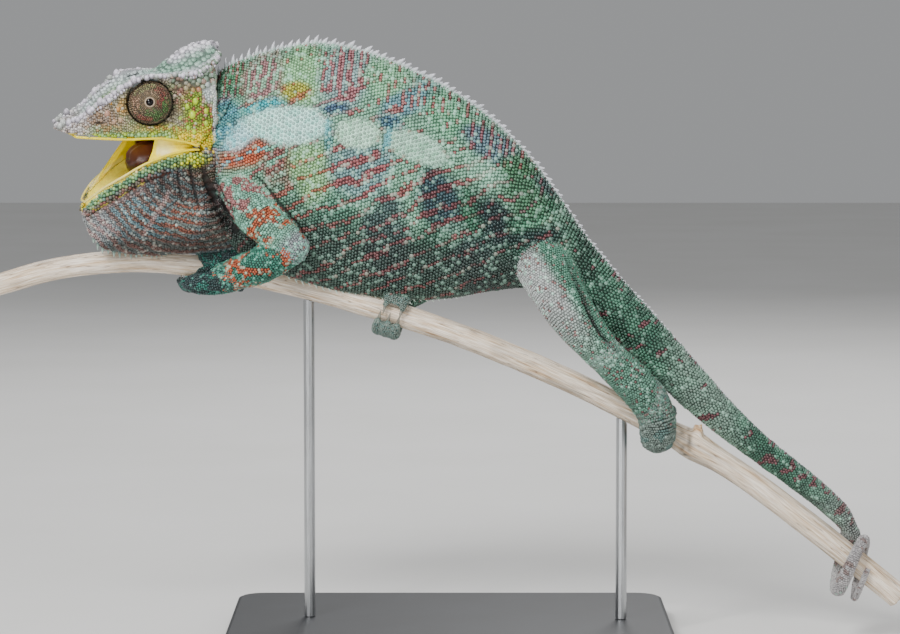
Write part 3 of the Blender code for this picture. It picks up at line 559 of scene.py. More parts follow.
@dataclass(frozen=True)
class Crease:
    """A sharp fold seen from the side: its line (x, z) in mm, its depth and half width in mm, and `dark`, the
    share by which painted shade darkens its tones.
    """

    line: tuple
    depth: float = 1.0
    half: float = 1.1
    dark: float = 0.8

    def weight(self, x: Array, z: Array) -> Array:
        """1 on the line, falling off as exp(-(d / half)^2), thinner towards both ends."""
        knots = sampled(self.line, 24)
        best = np.full(len(x), 1e9)
        taper = np.zeros(len(x))
        for number, (a, b) in enumerate(zip(knots[:-1], knots[1:])):
            run = b - a
            t = np.clip(((x - a[0]) * run[0] + (z - a[1]) * run[1]) / (run @ run), 0.0, 1.0)
            away = (x - a[0] - t * run[0]) ** 2 + (z - a[1] - t * run[1]) ** 2
            nearer = away < best
            best = np.where(nearer, away, best)
            taper = np.where(nearer, np.sin(math.pi * (number + t) / 23.0) ** 0.5, taper)
        return np.exp(-best / self.half ** 2) * taper


def spaced(line: Array, pitch: tuple) -> tuple[Array, Array, Array]:
    """Places along a line, one for each pitch.

    Args:
        line: Points in mm.
        pitch: Distance between places in mm, from the first point to the last.
    Returns:
        The places, the directions there and their shares of the line's length.
    """
    steps = np.linalg.norm(np.diff(line, axis=0), axis=1)
    run = np.concatenate([[0.0], np.cumsum(steps)])
    sizes = np.interp(run / run[-1], np.linspace(0.0, 1.0, len(pitch)), pitch)
    count = np.concatenate([[0.0], np.cumsum(steps / ((sizes[1:] + sizes[:-1]) / 2))])
    marks = np.interp(np.arange(0.5, count[-1]), count, run)
    points = np.stack([np.interp(marks, run, line[:, k]) for k in range(3)], axis=1)
    return points, unit(np.gradient(points, axis=0)), marks / run[-1]


def lathe(name: str, profile: tuple, base: Array, axis: Array, rows: int, columns: int) -> Shell:
    """A turned form: a smooth profile of (radius, height) spun about an axis.

    Column 0 points to +X and a quarter turn later up, when the axis points to -Y. The fourth
    channel is the radius.
    """
    radius, height = spline(np.array(profile), np.linspace(0.0, len(profile) - 1.0, rows)).T
    right = unit(np.cross((0.0, 0.0, 1.0), axis))
    top = np.cross(axis, right)
    turn = 2 * np.pi * np.arange(columns) / columns
    circle = right * np.cos(turn)[:, None] + top * np.sin(turn)[:, None]
    points = base + radius[:, None, None] * circle[None] + height[:, None, None] * axis
    band = np.broadcast_to(radius[:, None, None], points.shape[:2] + (1,))
    return Shell(name, np.concatenate([points, band], axis=-1))


# ------------------------------------------------------------------ finishes

def add_node(tree: bpy.types.NodeTree, kind: str, links: dict | None = None, **settings) -> bpy.types.Node:
    """Add one shader node.

    Args:
        tree: The material's node tree.
        kind: Blender's node type.
        links: Input name or number to an output socket or a constant.
        settings: Properties of the node.
    Returns:
        The node.
    """
    node = tree.nodes.new(kind)
    for key, value in settings.items():
        setattr(node, key, value)
    for key, value in (links or {}).items():
        if isinstance(value, bpy.types.NodeSocket):
            tree.links.new(value, node.inputs[key])
        else:
            node.inputs[key].default_value = value
    return node


def ramp(tree: bpy.types.NodeTree, source: bpy.types.NodeSocket, stops: tuple) -> bpy.types.Node:
    """A colour ramp from (position, hex) stops."""
    node = add_node(tree, "ShaderNodeValToRGB", {"Fac": source})
    elements = node.color_ramp.elements
    while len(elements) < len(stops):
        elements.new(0.5)
    for element, (position, code) in zip(elements, stops):
        element.position = position
        element.color = (*linear(code), 1.0)
    return node


def noise_node(tree: bpy.types.NodeTree, source: bpy.types.NodeSocket, scale: float, detail: float,
               stretch: tuple | None = None, shift: tuple = (0.0, 0.0, 0.0), **more: float) -> bpy.types.Node:
    """Noise read at a vector.

    Args:
        tree: The material's node tree.
        source: The vector.
        scale: Cells for each unit of it.
        detail: Number of finer layers.
        stretch: Factors for the vector's axes, where they differ.
        shift: Move of the vector after that.
        more: Other inputs of the noise.
    Returns:
        The noise node.
    """
    if stretch is not None:
        source = add_node(tree, "ShaderNodeMapping",
                          {"Vector": source, "Location": shift, "Scale": stretch}).outputs["Vector"]
    return add_node(tree, "ShaderNodeTexNoise",
                    {"Vector": source, "Scale": scale, "Detail": detail, **more})


def place_node(tree: bpy.types.NodeTree) -> bpy.types.NodeSocket:
    """The place on the piece, in metres of its own frame."""
    return add_node(tree, "ShaderNodeTexCoord").outputs["Object"]


def mix_node(tree: bpy.types.NodeTree, amount: float | bpy.types.NodeSocket, first: bpy.types.NodeSocket,
             second: bpy.types.NodeSocket, blend: str = "MULTIPLY") -> bpy.types.NodeSocket:
    """Two colours mixed, or multiplied, by an amount."""
    return add_node(tree, "ShaderNodeMix", {0: amount, 6: first, 7: second},
                    data_type="RGBA", blend_type=blend).outputs[2]


@dataclass(frozen=True)
class Finish:
    """A surface finish: `relief_mm` is the height of its relief and `grain_mm` the size of its grain."""

    name: str
    roughness: float
    ior: float = 1.45
    metallic: float = 0.0
    coat: float = 0.0
    grain_mm: float = 0.5
    relief_mm: float = 0.05

    def start(self) -> tuple[bpy.types.Material, bpy.types.NodeTree, bpy.types.Node]:
        """A new material, its tree and its shader with the finish's constants set."""
        made = bpy.data.materials.new(self.name)
        made.use_nodes = True
        tree = made.node_tree
        shader = tree.nodes["Principled BSDF"]
        shader.inputs["Roughness"].default_value = self.roughness
        shader.inputs["IOR"].default_value = self.ior
        shader.inputs["Metallic"].default_value = self.metallic
        shader.inputs["Coat Weight"].default_value = self.coat
        shader.inputs["Coat Roughness"].default_value = 0.2
        return made, tree, shader

    def grain(self, tree: bpy.types.NodeTree, shader: bpy.types.Node) -> bpy.types.NodeSocket:
        """Fine relief from noise whose grain has a real size; returns the noise."""
        fine = noise_node(tree, place_node(tree), 1.0 / (MM * self.grain_mm), 3.0).outputs["Fac"]
        self.relief(tree, shader, fine, 0.6)
        return fine

    def relief(self, tree: bpy.types.NodeTree, shader: bpy.types.Node, height: bpy.types.NodeSocket,
               strength: float) -> None:
        """Bump of the finish's real depth from a height between 0 and 1."""
        bump = add_node(tree, "ShaderNodeBump", {"Height": height, "Strength": strength,
                                                 "Distance": self.relief_mm * MM})
        tree.links.new(bump.outputs["Normal"], shader.inputs["Normal"])


@dataclass(frozen=True)
class Hide(Finish):
    """Dry keratin scales and the skin under them: satin, with markings and painted shade kept in the mesh."""

    mottle: float = 0.22

    def make(self) -> bpy.types.Material:
        """The stored tone, made a little uneven at the size of the grain."""
        made, tree, shader = self.start()
        tone = add_node(tree, "ShaderNodeAttribute", attribute_name="tone")
        fine = self.grain(tree, shader)
        amount = add_node(tree, "ShaderNodeMapRange",
                          {"Value": fine, "From Min": 0.3, "From Max": 0.7,
                           "To Min": 1.0 - self.mottle, "To Max": 1.0 + self.mottle})
        mixed = add_node(tree, "ShaderNodeVectorMath", {0: tone.outputs["Color"]}, operation="SCALE")
        tree.links.new(amount.outputs["Result"], mixed.inputs["Scale"])
        tree.links.new(mixed.outputs["Vector"], shader.inputs["Base Color"])
        return made


@dataclass(frozen=True)
class Moist(Hide):
    """Wet mouth lining: smooth, with a thin clear film over it."""

    def make(self) -> bpy.types.Material:
        """The stored tone under a wet coat, slightly see-through at its edges."""
        made = super().make()
        shader = made.node_tree.nodes["Principled BSDF"]
        shader.inputs["Subsurface Weight"].default_value = 0.15
        shader.inputs["Subsurface Radius"].default_value = (1.0, 0.5, 0.3)
        shader.inputs["Subsurface Scale"].default_value = 1.2 * MM
        return made


@dataclass(frozen=True)
class Plain(Finish):
    """One material between two close tones that drift at the size of `drift_mm`."""

    first: str = "#808080"
    second: str = "#707070"
    drift_mm: float = 6.0

    def make(self) -> bpy.types.Material:
        """A drift between the two tones, with the finish's fine relief."""
        made, tree, shader = self.start()
        self.grain(tree, shader)
        drift = noise_node(tree, place_node(tree), 1.0 / (MM * self.drift_mm), 4.0)
        tint = ramp(tree, drift.outputs["Fac"], ((0.3, self.first), (0.7, self.second)))
        tree.links.new(tint.outputs["Color"], shader.inputs["Base Color"])
        return made


@dataclass(frozen=True)
class Brushed(Plain):
    """Steel rod polished with a fine belt along its length: long, thin scratches."""

    def make(self) -> bpy.types.Material:
        """Scratches stretched along Z change the roughness, as the belt leaves them."""
        made, tree, shader = self.start()
        marks = noise_node(tree, place_node(tree), 1.0 / (MM * self.grain_mm), 2.0, (1.0, 1.0, 0.02))
        rough = add_node(tree, "ShaderNodeMapRange", {"Value": marks.outputs["Fac"], "To Min": 0.18,
                                                      "To Max": 0.42})
        tree.links.new(rough.outputs["Result"], shader.inputs["Roughness"])
        tint = ramp(tree, marks.outputs["Fac"], ((0.3, self.first), (0.7, self.second)))
        tree.links.new(tint.outputs["Color"], shader.inputs["Base Color"])
        self.relief(tree, shader, marks.outputs["Fac"], 0.3)
        return made


@dataclass(frozen=True)
class BarklessWood(Finish):
    """Weathered twig with its bark gone: pale, matt, with fibres along its length.

    The mesh stores "grain": millimetres along, round and out from the heart, and "cut": 1 on
    the sawn ends and the torn stub.
    """

    def make(self) -> bpy.types.Material:
        """Long pale fibres, tan streaks and dark checks; year rings on the cut ends."""
        made, tree, shader = self.start()
        grain = add_node(tree, "ShaderNodeAttribute", attribute_name="grain")
        cut = add_node(tree, "ShaderNodeAttribute", attribute_name="cut")
        shade = add_node(tree, "ShaderNodeAttribute", attribute_name="tone")
        along = grain.outputs["Vector"]
        broad = noise_node(tree, along, 1.0, 5.0, (0.045, 0.9, 0.0), Roughness=0.62)
        fibre = noise_node(tree, along, 1.0, 3.0, (0.16, 4.2, 0.0))
        check = noise_node(tree, along, 1.0, 1.0, (0.035, 0.8, 0.0), (3.0, 7.0, 0.0), Distortion=0.4)
        body = ramp(tree, broad.outputs["Fac"], ((0.28, "#b08c66"), (0.40, "#e2cfb6"), (0.54, "#f8f0e4"),
                                                 (0.72, "#fffaf3")))
        threads = ramp(tree, fibre.outputs["Fac"], ((0.3, "#b59c84"), (0.6, "#ffffff")))
        dark = ramp(tree, check.outputs["Fac"], ((0.40, "#ffffff"), (0.485, "#ffffff"), (0.5, "#6b5240"),
                                                 (0.515, "#ffffff")))
        wood = mix_node(tree, 0.75, body.outputs["Color"], threads.outputs["Color"])
        wood = mix_node(tree, 0.7, wood, dark.outputs["Color"])
        heart = add_node(tree, "ShaderNodeSeparateXYZ", {0: along})
        rings = add_node(tree, "ShaderNodeMath", {0: heart.outputs["Z"], 1: 9.0}, operation="MULTIPLY")
        wave = add_node(tree, "ShaderNodeMath", {0: rings.outputs[0]}, operation="SINE")
        years = ramp(tree, wave.outputs[0], ((0.0, "#b98f62"), (1.0, "#e0c49c")))
        ends = mix_node(tree, cut.outputs["Fac"], wood, years.outputs["Color"], "MIX")
        tree.links.new(mix_node(tree, 1.0, ends, shade.outputs["Color"]), shader.inputs["Base Color"])
        relief = add_node(tree, "ShaderNodeMath", {0: fibre.outputs["Fac"], 1: dark.outputs["Color"]},
                          operation="ADD")
        self.relief(tree, shader, relief.outputs[0], 0.55)
        return made


@dataclass(frozen=True)
class Palette:
    """Every finish of the model, made once."""

    # Keratin scales scatter light from their domes; a satin film, not a shine.
    scales: Hide = Hide("keratin_scales", 0.38, ior=1.54, grain_mm=0.35, relief_mm=0.03, mottle=0.14)
    # Thin skin between scales is matt; the mesh gives it a darker tone, partly painted shade in the grooves
    # between scales.
    skin: Hide = Hide("folded_skin", 0.62, ior=1.42, grain_mm=0.5, relief_mm=0.05)
    # Living mouth lining is wet.
    lining: Moist = Moist("moist_lining", 0.34, ior=1.38, coat=0.35, grain_mm=1.4, relief_mm=0.10,
                          mottle=0.10)
    # Horn claws: worn smooth, slightly clear at the tip.
    horn: Plain = Plain("worn_horn", 0.32, ior=1.54, first="#57544a", second="#8d8a7c", grain_mm=0.6,
                        relief_mm=0.03, drift_mm=1.5)
    # Eyeball: a wet black cornea.
    cornea: Plain = Plain("wet_cornea", 0.04, ior=1.376, first="#050404", second="#0d0806",
                          grain_mm=2.0, relief_mm=0.0, drift_mm=1.0)
    # Dead twig that has lost its bark: dry and matt, with fibres that catch the light.
    wood: BarklessWood = BarklessWood("barkless_wood", 0.72, ior=1.45, relief_mm=0.22)
    # Powder coat: baked polyester with a fine orange-peel skin.
    powder: Plain = Plain("powder_coat", 0.42, ior=1.5, first="#1b1c1e", second="#232528", grain_mm=0.7,
                          relief_mm=0.035, drift_mm=20.0)
    # Drawn rod after a fine belt: streaks of light run along it.
    steel: Brushed = Brushed("belt_polished_steel", 0.28, metallic=1.0, first="#a9abad", second="#c9cbcd",
                             grain_mm=0.25, relief_mm=0.01)
    # Matt wall paint on the floor sheet.
    floor: Plain = Plain("pale_sheet", 0.85, first="#d9d8d5", second="#dedddb", grain_mm=3.0,
                         relief_mm=0.02, drift_mm=120.0)


# ------------------------------------------------------------------ forms of the animal

@dataclass
class Form:
    """Driving sizes of the animal's flesh, in millimetres, and the shells made from them."""

    # Back line (x, z), belly line (x, z) and half width, from the nape to the tail's root.
    trunk: tuple = (
        ((-88.0, 203.0), (-90.0, 168.0), 10.5), ((-80.5, 209.5), (-84.5, 154.0), 12.0),
        ((-71.0, 213.8), (-77.0, 142.0), 14.0), ((-59.0, 217.0), (-67.0, 135.6), 16.0),
        ((-45.5, 218.6), (-53.5, 130.6), 17.4), ((-30.0, 215.6), (-38.0, 126.6), 18.0),
        ((-13.0, 208.8), (-20.0, 124.2), 18.0), ((4.0, 199.6), (-3.0, 124.0), 17.4),
        ((18.0, 188.8), (9.0, 126.0), 16.0), ((30.0, 176.4), (19.0, 127.6), 14.2),
        ((41.0, 161.4), (28.0, 128.0), 12.2), ((51.0, 147.2), (36.0, 124.4), 10.6))
    # Back point, depth, width and sideways shift of the tail's rings.
    tail: tuple = (
        ((62.3, 133.6), 22.0, 18.0, 0.0), ((77.4, 116.8), 18.8, 15.6, 0.3), ((93.6, 98.4), 16.4, 13.4, 0.7),
        ((104.5, 86.0), 13.8, 11.6, 1.1), ((115.5, 75.2), 11.6, 10.0, 1.6), ((128.0, 64.9), 10.6, 9.2, 2.1),
        ((138.8, 55.6), 9.8, 8.6, 2.6), ((146.0, 47.6), 8.8, 8.0, 2.9))
    coil_centre: tuple = (140.0, 34.6)
    coil_slope: float = math.radians(37.3)
    coil_turns: tuple = (0.10, 1.80)
    coil_advance: float = 6.8
    coil_shift: float = 3.1
    coil_lean: float = 3.4
    coil_skew: float = 1.5
    coil_drop: float = 1.7
    coil_tall: tuple = (10.7, 9.0)
    coil_wide: tuple = (9.0, 6.2)
    coil_radius: tuple = (4.1, 2.5, 1.3)
    # Height of the spines along the back, from the nape to the tail's tip, left to the crest.
    crest_room: tuple = (2.6, 2.6, 2.4, 1.8, 1.3, 0.9, 0.7, 0.6, 0.5, 0.5)
    coat_depth: float = 0.7
    head_origin: tuple = (-107.6, -9.0, 196.0)
    head_turn: float = math.radians(22.0)
    head_roll: float = math.radians(7.0)
    # x, middle height, crest, side and lip as (half width, height), palate height.
    skull: tuple = (
        (33.2, -9.1, 2.2, -8.4, 2.6, -9.6, 2.0, -10.6, -10.2),
        (31.4, -8.2, 4.4, -6.9, 4.8, -9.0, 4.2, -11.6, -10.1),
        (26.4, -5.8, 6.4, -4.4, 7.2, -7.8, 7.4, -12.1, -9.2),
        (19.0, -2.6, 8.4, 0.9, 8.8, -5.0, 10.4, -12.2, -8.6),
        (10.4, 3.8, 10.8, 7.4, 9.9, -2.0, 12.4, -12.3, -8.6),
        (5.0, 7.4, 11.8, 9.9, 9.0, -1.0, 13.5, -12.0, -8.8),
        (-1.0, 10.3, 12.1, 10.3, 8.8, -0.5, 14.2, -11.9, -9.0),
        (-8.0, 15.4, 12.2, 10.6, 9.8, -0.5, 14.8, -12.7, -9.2),
        (-12.5, 18.8, 12.0, 11.0, 12.2, -1.5, 15.1, -13.7, -10.4),
        (-16.5, 20.5, 11.2, 12.2, 13.8, -2.5, 15.0, -15.2, -13.4),
        (-20.2, 21.2, 9.6, 14.0, 13.4, -1.5, 13.4, -15.6, -15.2),
        (-22.6, 21.3, 7.8, 15.6, 8.4, 10.5, 6.6, 7.5, 7.0),
        (-25.8, 20.4, 3.4, 18.2, 3.4, 17.0, 2.8, 15.4, 15.2))
    # x, lip and side as (half width, height), keel height.
    jaw: tuple = (
        (23.2, 1.6, -37.0, 1.6, -38.6, -40.6), (21.6, 4.8, -34.8, 3.8, -40.4, -45.6),
        (17.4, 8.0, -30.5, 7.4, -40.0, -51.6), (11.3, 10.6, -26.2, 10.6, -38.6, -54.8),
        (3.0, 12.8, -21.0, 13.4, -36.0, -56.0), (-8.0, 14.2, -17.0, 15.0, -34.6, -56.4),
        (-17.0, 14.8, -16.4, 15.6, -34.0, -56.4), (-25.0, 13.0, -22.0, 14.8, -37.0, -57.2),
        (-31.5, 10.0, -31.0, 12.6, -41.0, -56.8), (-36.5, 6.0, -42.0, 8.0, -46.5, -54.4))
    jaw_corner: float = 6.0
    lip_thick: float = 2.2
    # Joint points and radii of each limb segment.
    limbs: dict = field(default_factory=lambda: {
        "upper_arm_left": (((-73.6, -9.0, 160.6), 10.6), ((-65.6, -15.2, 152.6), 8.6),
                           ((-56.5, -18.0, 145.5), 7.5)),
        "forearm_left": (((-56.5, -17.6, 143.6), 7.2), ((-67.0, -15.5, 138.0), 8.0),
                         ((-79.0, -10.0, 133.6), 6.8)),
        "upper_arm_right": (((-74.0, 8.0, 165.0), 11.0), ((-62.0, 15.0, 155.0), 8.8),
                            ((-51.5, 17.5, 148.0), 6.8)),
        "forearm_right": (((-51.5, 17.5, 147.2), 6.9), ((-63.0, 18.0, 141.0), 6.2),
                          ((-74.0, 14.0, 137.0), 5.4)),
        "thigh_left": (((34.0, -7.0, 136.0), 12.0), ((43.2, -13.5, 120.4), 10.2),
                       ((55.0, -15.0, 105.7), 7.8)),
        "shin_left": (((55.5, -15.0, 105.3), 7.8), ((66.9, -13.4, 94.0), 8.3), ((74.6, -10.6, 82.4), 7.4)),
        "thigh_right": (((33.0, 6.5, 139.0), 10.0), ((18.0, 18.0, 136.0), 8.4), ((2.0, 22.0, 134.5), 6.8)),
        "shin_right": (((1.6, 22.0, 134.0), 6.6), ((-9.0, 18.0, 127.0), 5.6), ((-19.0, 10.5, 121.5), 4.6)),
    })
    # x on the branch, slide, first and last angle round it, thickness, breadth, toes, their spread
    # over the breadth, and the share of the length over which they are one mitten.
    feet: dict = field(default_factory=lambda: {
        "hand_left_upper": (-87.0, -1.0, 66.0, -62.0, 2.2, 5.6, 3, 1.15, 0.62),
        "hand_left_lower": (-85.0, -8.0, 96.0, 205.0, 3.0, 6.4, 2, 1.0, 0.85),
        "hand_right_upper": (-76.0, -1.0, -62.0, 58.0, 2.2, 4.4, 3, 1.15, 0.62),
        "hand_right_lower": (-76.5, -1.5, -100.0, -160.0, 2.1, 4.4, 2, 1.15, 0.62),
        "foot_left_upper": (74.6, 1.0, 50.0, -70.0, 2.4, 4.6, 2, 0.7, 0.7),
        "foot_left_lower": (76.2, 0.0, 92.0, 215.0, 2.6, 6.6, 3, 0.55, 0.9),
        "foot_right_upper": (-20.5, 0.0, -60.0, 66.0, 2.1, 4.4, 2, 1.3, 0.88),
        "foot_right_lower": (-21.0, 0.0, -95.0, -238.0, 2.6, 5.2, 3, 1.25, 0.94),
    })
    # Points (x, y, z, radius) of the wrists and ankles that lead each limb into its foot.
    wrists: dict = field(default_factory=lambda: {
        "wrist_left": ((-74.0, -12.0, 135.0, 5.8), (-81.0, -11.0, 132.2, 5.3), (-88.0, -10.0, 130.8, 4.0),
                       (-93.0, -9.0, 131.0, 2.9)),
        "wrist_right": ((-74.0, 13.0, 137.6, 5.0), (-77.5, 9.5, 139.4, 4.0), (-80.0, 5.0, 139.6, 3.0)),
        "ankle_left": ((71.5, -12.0, 90.0, 6.7), (74.0, -11.6, 82.5, 7.3), (74.4, -10.4, 77.2, 7.1))})
    # The roof between the brow crests dips to the right by this much per mm of width.
    roof_lean: float = 0.055
    eye_seat: float = 5.6
    eye_back: float = 0.8
    # The ring grooves round the eyes are cut only farther than this from the head's middle plane.
    orbit_side: float = 7.4

    def coil_rings(self) -> tuple[Array, Array, Array]:
        """Centres, outward vectors and side vectors of the tail's coil, an oval helix."""
        along = np.array([math.cos(self.coil_slope), 0.0, -math.sin(self.coil_slope)])
        up = np.array([math.sin(self.coil_slope), 0.0, math.cos(self.coil_slope)])
        across = np.array([0.0, 1.0, 0.0])
        turns = np.linspace(*self.coil_turns, 19)
        share = np.linspace(0.0, 1.0, 19)
        angle = 2 * math.pi * turns
        tall = np.interp(share, (0.0, 1.0), self.coil_tall)
        wide = np.interp(share, (0.0, 1.0), self.coil_wide)
        radius = np.interp(share, (0.0, 0.45, 1.0), self.coil_radius)
        slide = (self.coil_shift + self.coil_advance * turns - self.coil_lean * np.cos(angle)
                 + self.coil_skew * np.sin(angle))
        lift = -self.coil_drop + tall * np.cos(angle)
        origin = np.array([self.coil_centre[0], 0.0, self.coil_centre[1]])
        centres = (origin + np.outer(slide, along) + np.outer(lift, up)
                   + np.outer(wide * np.sin(angle), across))
        tangent = unit(np.gradient(centres, axis=0))
        outward = np.outer(np.cos(angle), up) + np.outer(np.sin(angle), across)
        outward = square_to(tangent, outward)
        side = np.cross(outward, tangent)
        return centres, outward * radius[:, None], side * radius[:, None]

    def body_rings(self) -> tuple[Array, Array, Array]:
        """Centres, upward vectors and side vectors of the whole body, nape to tail tip."""
        tops = np.array([[t[0], 0.0, t[1]] for t, _, _ in self.trunk])
        bottoms = np.array([[b[0], 0.0, b[1]] for _, b, _ in self.trunk])
        widths = np.array([[0.0, w, 0.0] for _, _, w in self.trunk])
        backs = np.array([t for t, _, _, _ in self.tail])
        line = np.vstack([[self.trunk[-1][0]], backs, [(149.0, 40.0)]])
        runs = unit(np.gradient(line, axis=0))[1:-1]
        ups = np.stack([-runs[:, 1], np.zeros(len(runs)), runs[:, 0]], axis=1)
        depths = np.array([d for _, d, _, _ in self.tail])[:, None]
        shifts = [s for _, _, _, s in self.tail]
        centres = np.stack([backs[:, 0], shifts, backs[:, 1]], axis=1) - ups * depths / 2
        sides = np.array([[0.0, w / 2, 0.0] for _, _, w, _ in self.tail])
        coil = self.coil_rings()
        return (np.vstack([(tops + bottoms) / 2, centres, coil[0]]),
                np.vstack([(tops - bottoms) / 2, ups * depths / 2, coil[1]]),
                np.vstack([widths, sides, coil[2]]))

    def body(self) -> Shell:
        """Neck, trunk and tail: rings of centre + up sin(a) + side cos(a)|cos(a)|^(keel - 1).

        The top comes down by the crest's room and the bottom comes up by the coat's depth.
        """
        centres, ups, sides = self.body_rings()
        places = np.linspace(0.0, len(centres) - 1.0, 420)
        keels = np.interp(places, (0.0, 5.0, 11.0, 16.0, 20.0), (1.25, 1.45, 1.35, 1.15, 1.0))[:, None]
        centres, ups, sides = spline(centres, places), spline(ups, places), spline(sides, places)
        room = np.interp(np.linspace(0, 1, 420), np.linspace(0, 1, len(self.crest_room)), self.crest_room)
        depth = np.full(420, self.coat_depth)
        depth = np.minimum(depth, np.linalg.norm(ups, axis=1) * 0.25)
        tall = np.linalg.norm(ups, axis=1)
        centres = centres - unit(ups) * ((room - depth) / 2)[:, None]
        ups = ups * ((tall - (room + depth) / 2) / tall)[:, None]
        wide = np.linalg.norm(sides, axis=1)
        sides = sides * ((wide - depth) / wide)[:, None]
        turn = np.linspace(0.0, 2 * math.pi, 128, endpoint=False) + 0.5 * math.pi
        cosine, sine = np.cos(turn), np.sin(turn)
        spread = np.sign(cosine) * np.abs(cosine) ** keels
        points = centres[:, None] + ups[:, None] * sine[None, :, None] + sides[:, None] * spread[:, :, None]
        band = np.broadcast_to(((1.0 - sine) / 2)[None, :, None], points.shape[:2] + (1,))
        return Shell("body", np.concatenate([points, band], axis=-1)).even(360, 120)

    def head_axes(self) -> tuple[Array, Array, Array]:
        """The head's forward, left and up directions in the row frame."""
        turn, roll = self.head_turn, self.head_roll
        forward = np.array([-math.cos(turn), -math.sin(turn), 0.0])
        left = np.array([math.sin(turn), -math.cos(turn), 0.0])
        up = np.array([0.0, 0.0, 1.0])
        return (forward, left * math.cos(roll) - up * math.sin(roll),
                up * math.cos(roll) + left * math.sin(roll))

    def from_head(self, points: Array) -> Array:
        """Points in the head's frame (forward, left, up) to the row frame."""
        points = np.array(points, dtype=float)
        points[..., 2] += self.roof_dip(points)
        return points @ np.stack(self.head_axes()) + np.array(self.head_origin)

    def to_head(self, points: Array) -> Array:
        """Points in the row frame to the head's frame."""
        local = (points - np.array(self.head_origin)) @ np.stack(self.head_axes()).T
        local[..., 2] -= self.roof_dip(local)
        return local

    def roof_dip(self, local: Array) -> Array:
        """Rise of the left brow and fall of the right one, from the orbits' upper rims upward."""
        above = local[..., 2] + 1.0 + 0.28 * np.maximum(local[..., 0] - 8.0, 0.0)
        return self.roof_lean * local[..., 1] * ease(above, 0.0, 4.0)

    def outline_shell(self, name: str, outline: list[tuple[Array, Array]], x: Array, columns: int) -> Shell:
        """A mirrored loft from half outlines that run from the upper to the lower middle line."""
        steps = len(outline) - 1
        half = np.stack([np.stack([x, w, z, np.full_like(x, k / steps)], axis=-1)
                         for k, (w, z) in enumerate(outline)], axis=1)
        right = half[:, 1:-1][:, ::-1] * np.array([1.0, -1.0, 1.0, 1.0])
        rings = round_spline(np.concatenate([half, right], axis=1), columns)
        bow = np.clip(1.0 - ((rings[..., 2] + 3.0) / 13.0) ** 2, 0.0, 1.0) + 0.3 * np.sin(rings[..., 2] * 0.9)
        rings[..., 0] -= 1.7 * ease(-rings[..., 0], 15.0, 20.0) * bow * (name == "head")
        rings[..., :3] = self.from_head(rings[..., :3])
        return Shell(name, rings)

    def head(self) -> Shell:
        """Skull with upper jaw and casque: concave roof, crest, orbit, cheek, lip and palate."""
        x, mid, crest_w, crest_z, side_w, side_z, lip_w, lip_z, palate_z = spline(
            self.skull, np.linspace(0.0, len(self.skull) - 1.0, 160)).T
        zero = np.zeros_like(x)
        outline = [
            (zero, mid), (crest_w * 0.55, mid * 0.55 + crest_z * 0.45 - 0.5), (crest_w * 0.93, crest_z),
            (crest_w, crest_z - 0.8), (side_w * 0.55 + crest_w * 0.45, (side_z + crest_z) / 2),
            (side_w, side_z), (side_w * 0.4 + lip_w * 0.6, side_z * 0.4 + lip_z * 0.6),
            (lip_w, lip_z + 0.8), (lip_w * 0.96, lip_z), (lip_w * 0.72, lip_z * 0.7 + palate_z * 0.3),
            (lip_w * 0.5, palate_z), (zero, palate_z)]
        return self.outline_shell("head", outline, x, 132).even(170, 150).inset(self.coat_depth * 0.8)

    def jaw_rows(self, places: Array) -> Array:
        """Columns of the lower jaw's table at the given places."""
        return spline(self.jaw, places).T

    def lower_jaw(self) -> Shell:
        """Lower jaw and throat pouch as one form, with the mouth's floor sunk between the lips."""
        places = np.linspace(0.0, len(self.jaw) - 1.0, 160)
        x, lip_w, lip_z, side_w, side_z, keel_z = self.jaw_rows(places)
        behind = ease(places, self.jaw_corner - 0.15, self.jaw_corner + 0.1)
        drop = np.minimum(6.5, (lip_z - keel_z) * 0.55)
        floor = lip_z - np.minimum(4.0, drop * 0.6) * (1.0 - behind)
        lip_z = lip_z + 2.4 * behind * (1.0 - ease(places, self.jaw_corner + 0.8, self.jaw_corner + 2.0))
        under = lip_z - drop
        under_w = lip_w + (side_w - lip_w) * 0.5
        inner = np.maximum(lip_w - self.lip_thick, lip_w * 0.3)
        zero = np.zeros_like(x)
        outline = [
            (zero, floor), (inner * 0.7, floor), (inner, lip_z - 0.6), (lip_w * 0.93, lip_z),
            (lip_w, lip_z - 0.9), (under_w, (lip_z + under) / 2), (under_w, under), (side_w, side_z),
            (side_w * 0.86, side_z * 0.6 + keel_z * 0.4), (side_w * 0.5, side_z * 0.25 + keel_z * 0.75),
            (side_w * 0.12, keel_z + 0.6), (zero, keel_z)]
        return self.outline_shell("lower_jaw", outline, x, 132).even(170, 170).inset(self.coat_depth * 0.8)

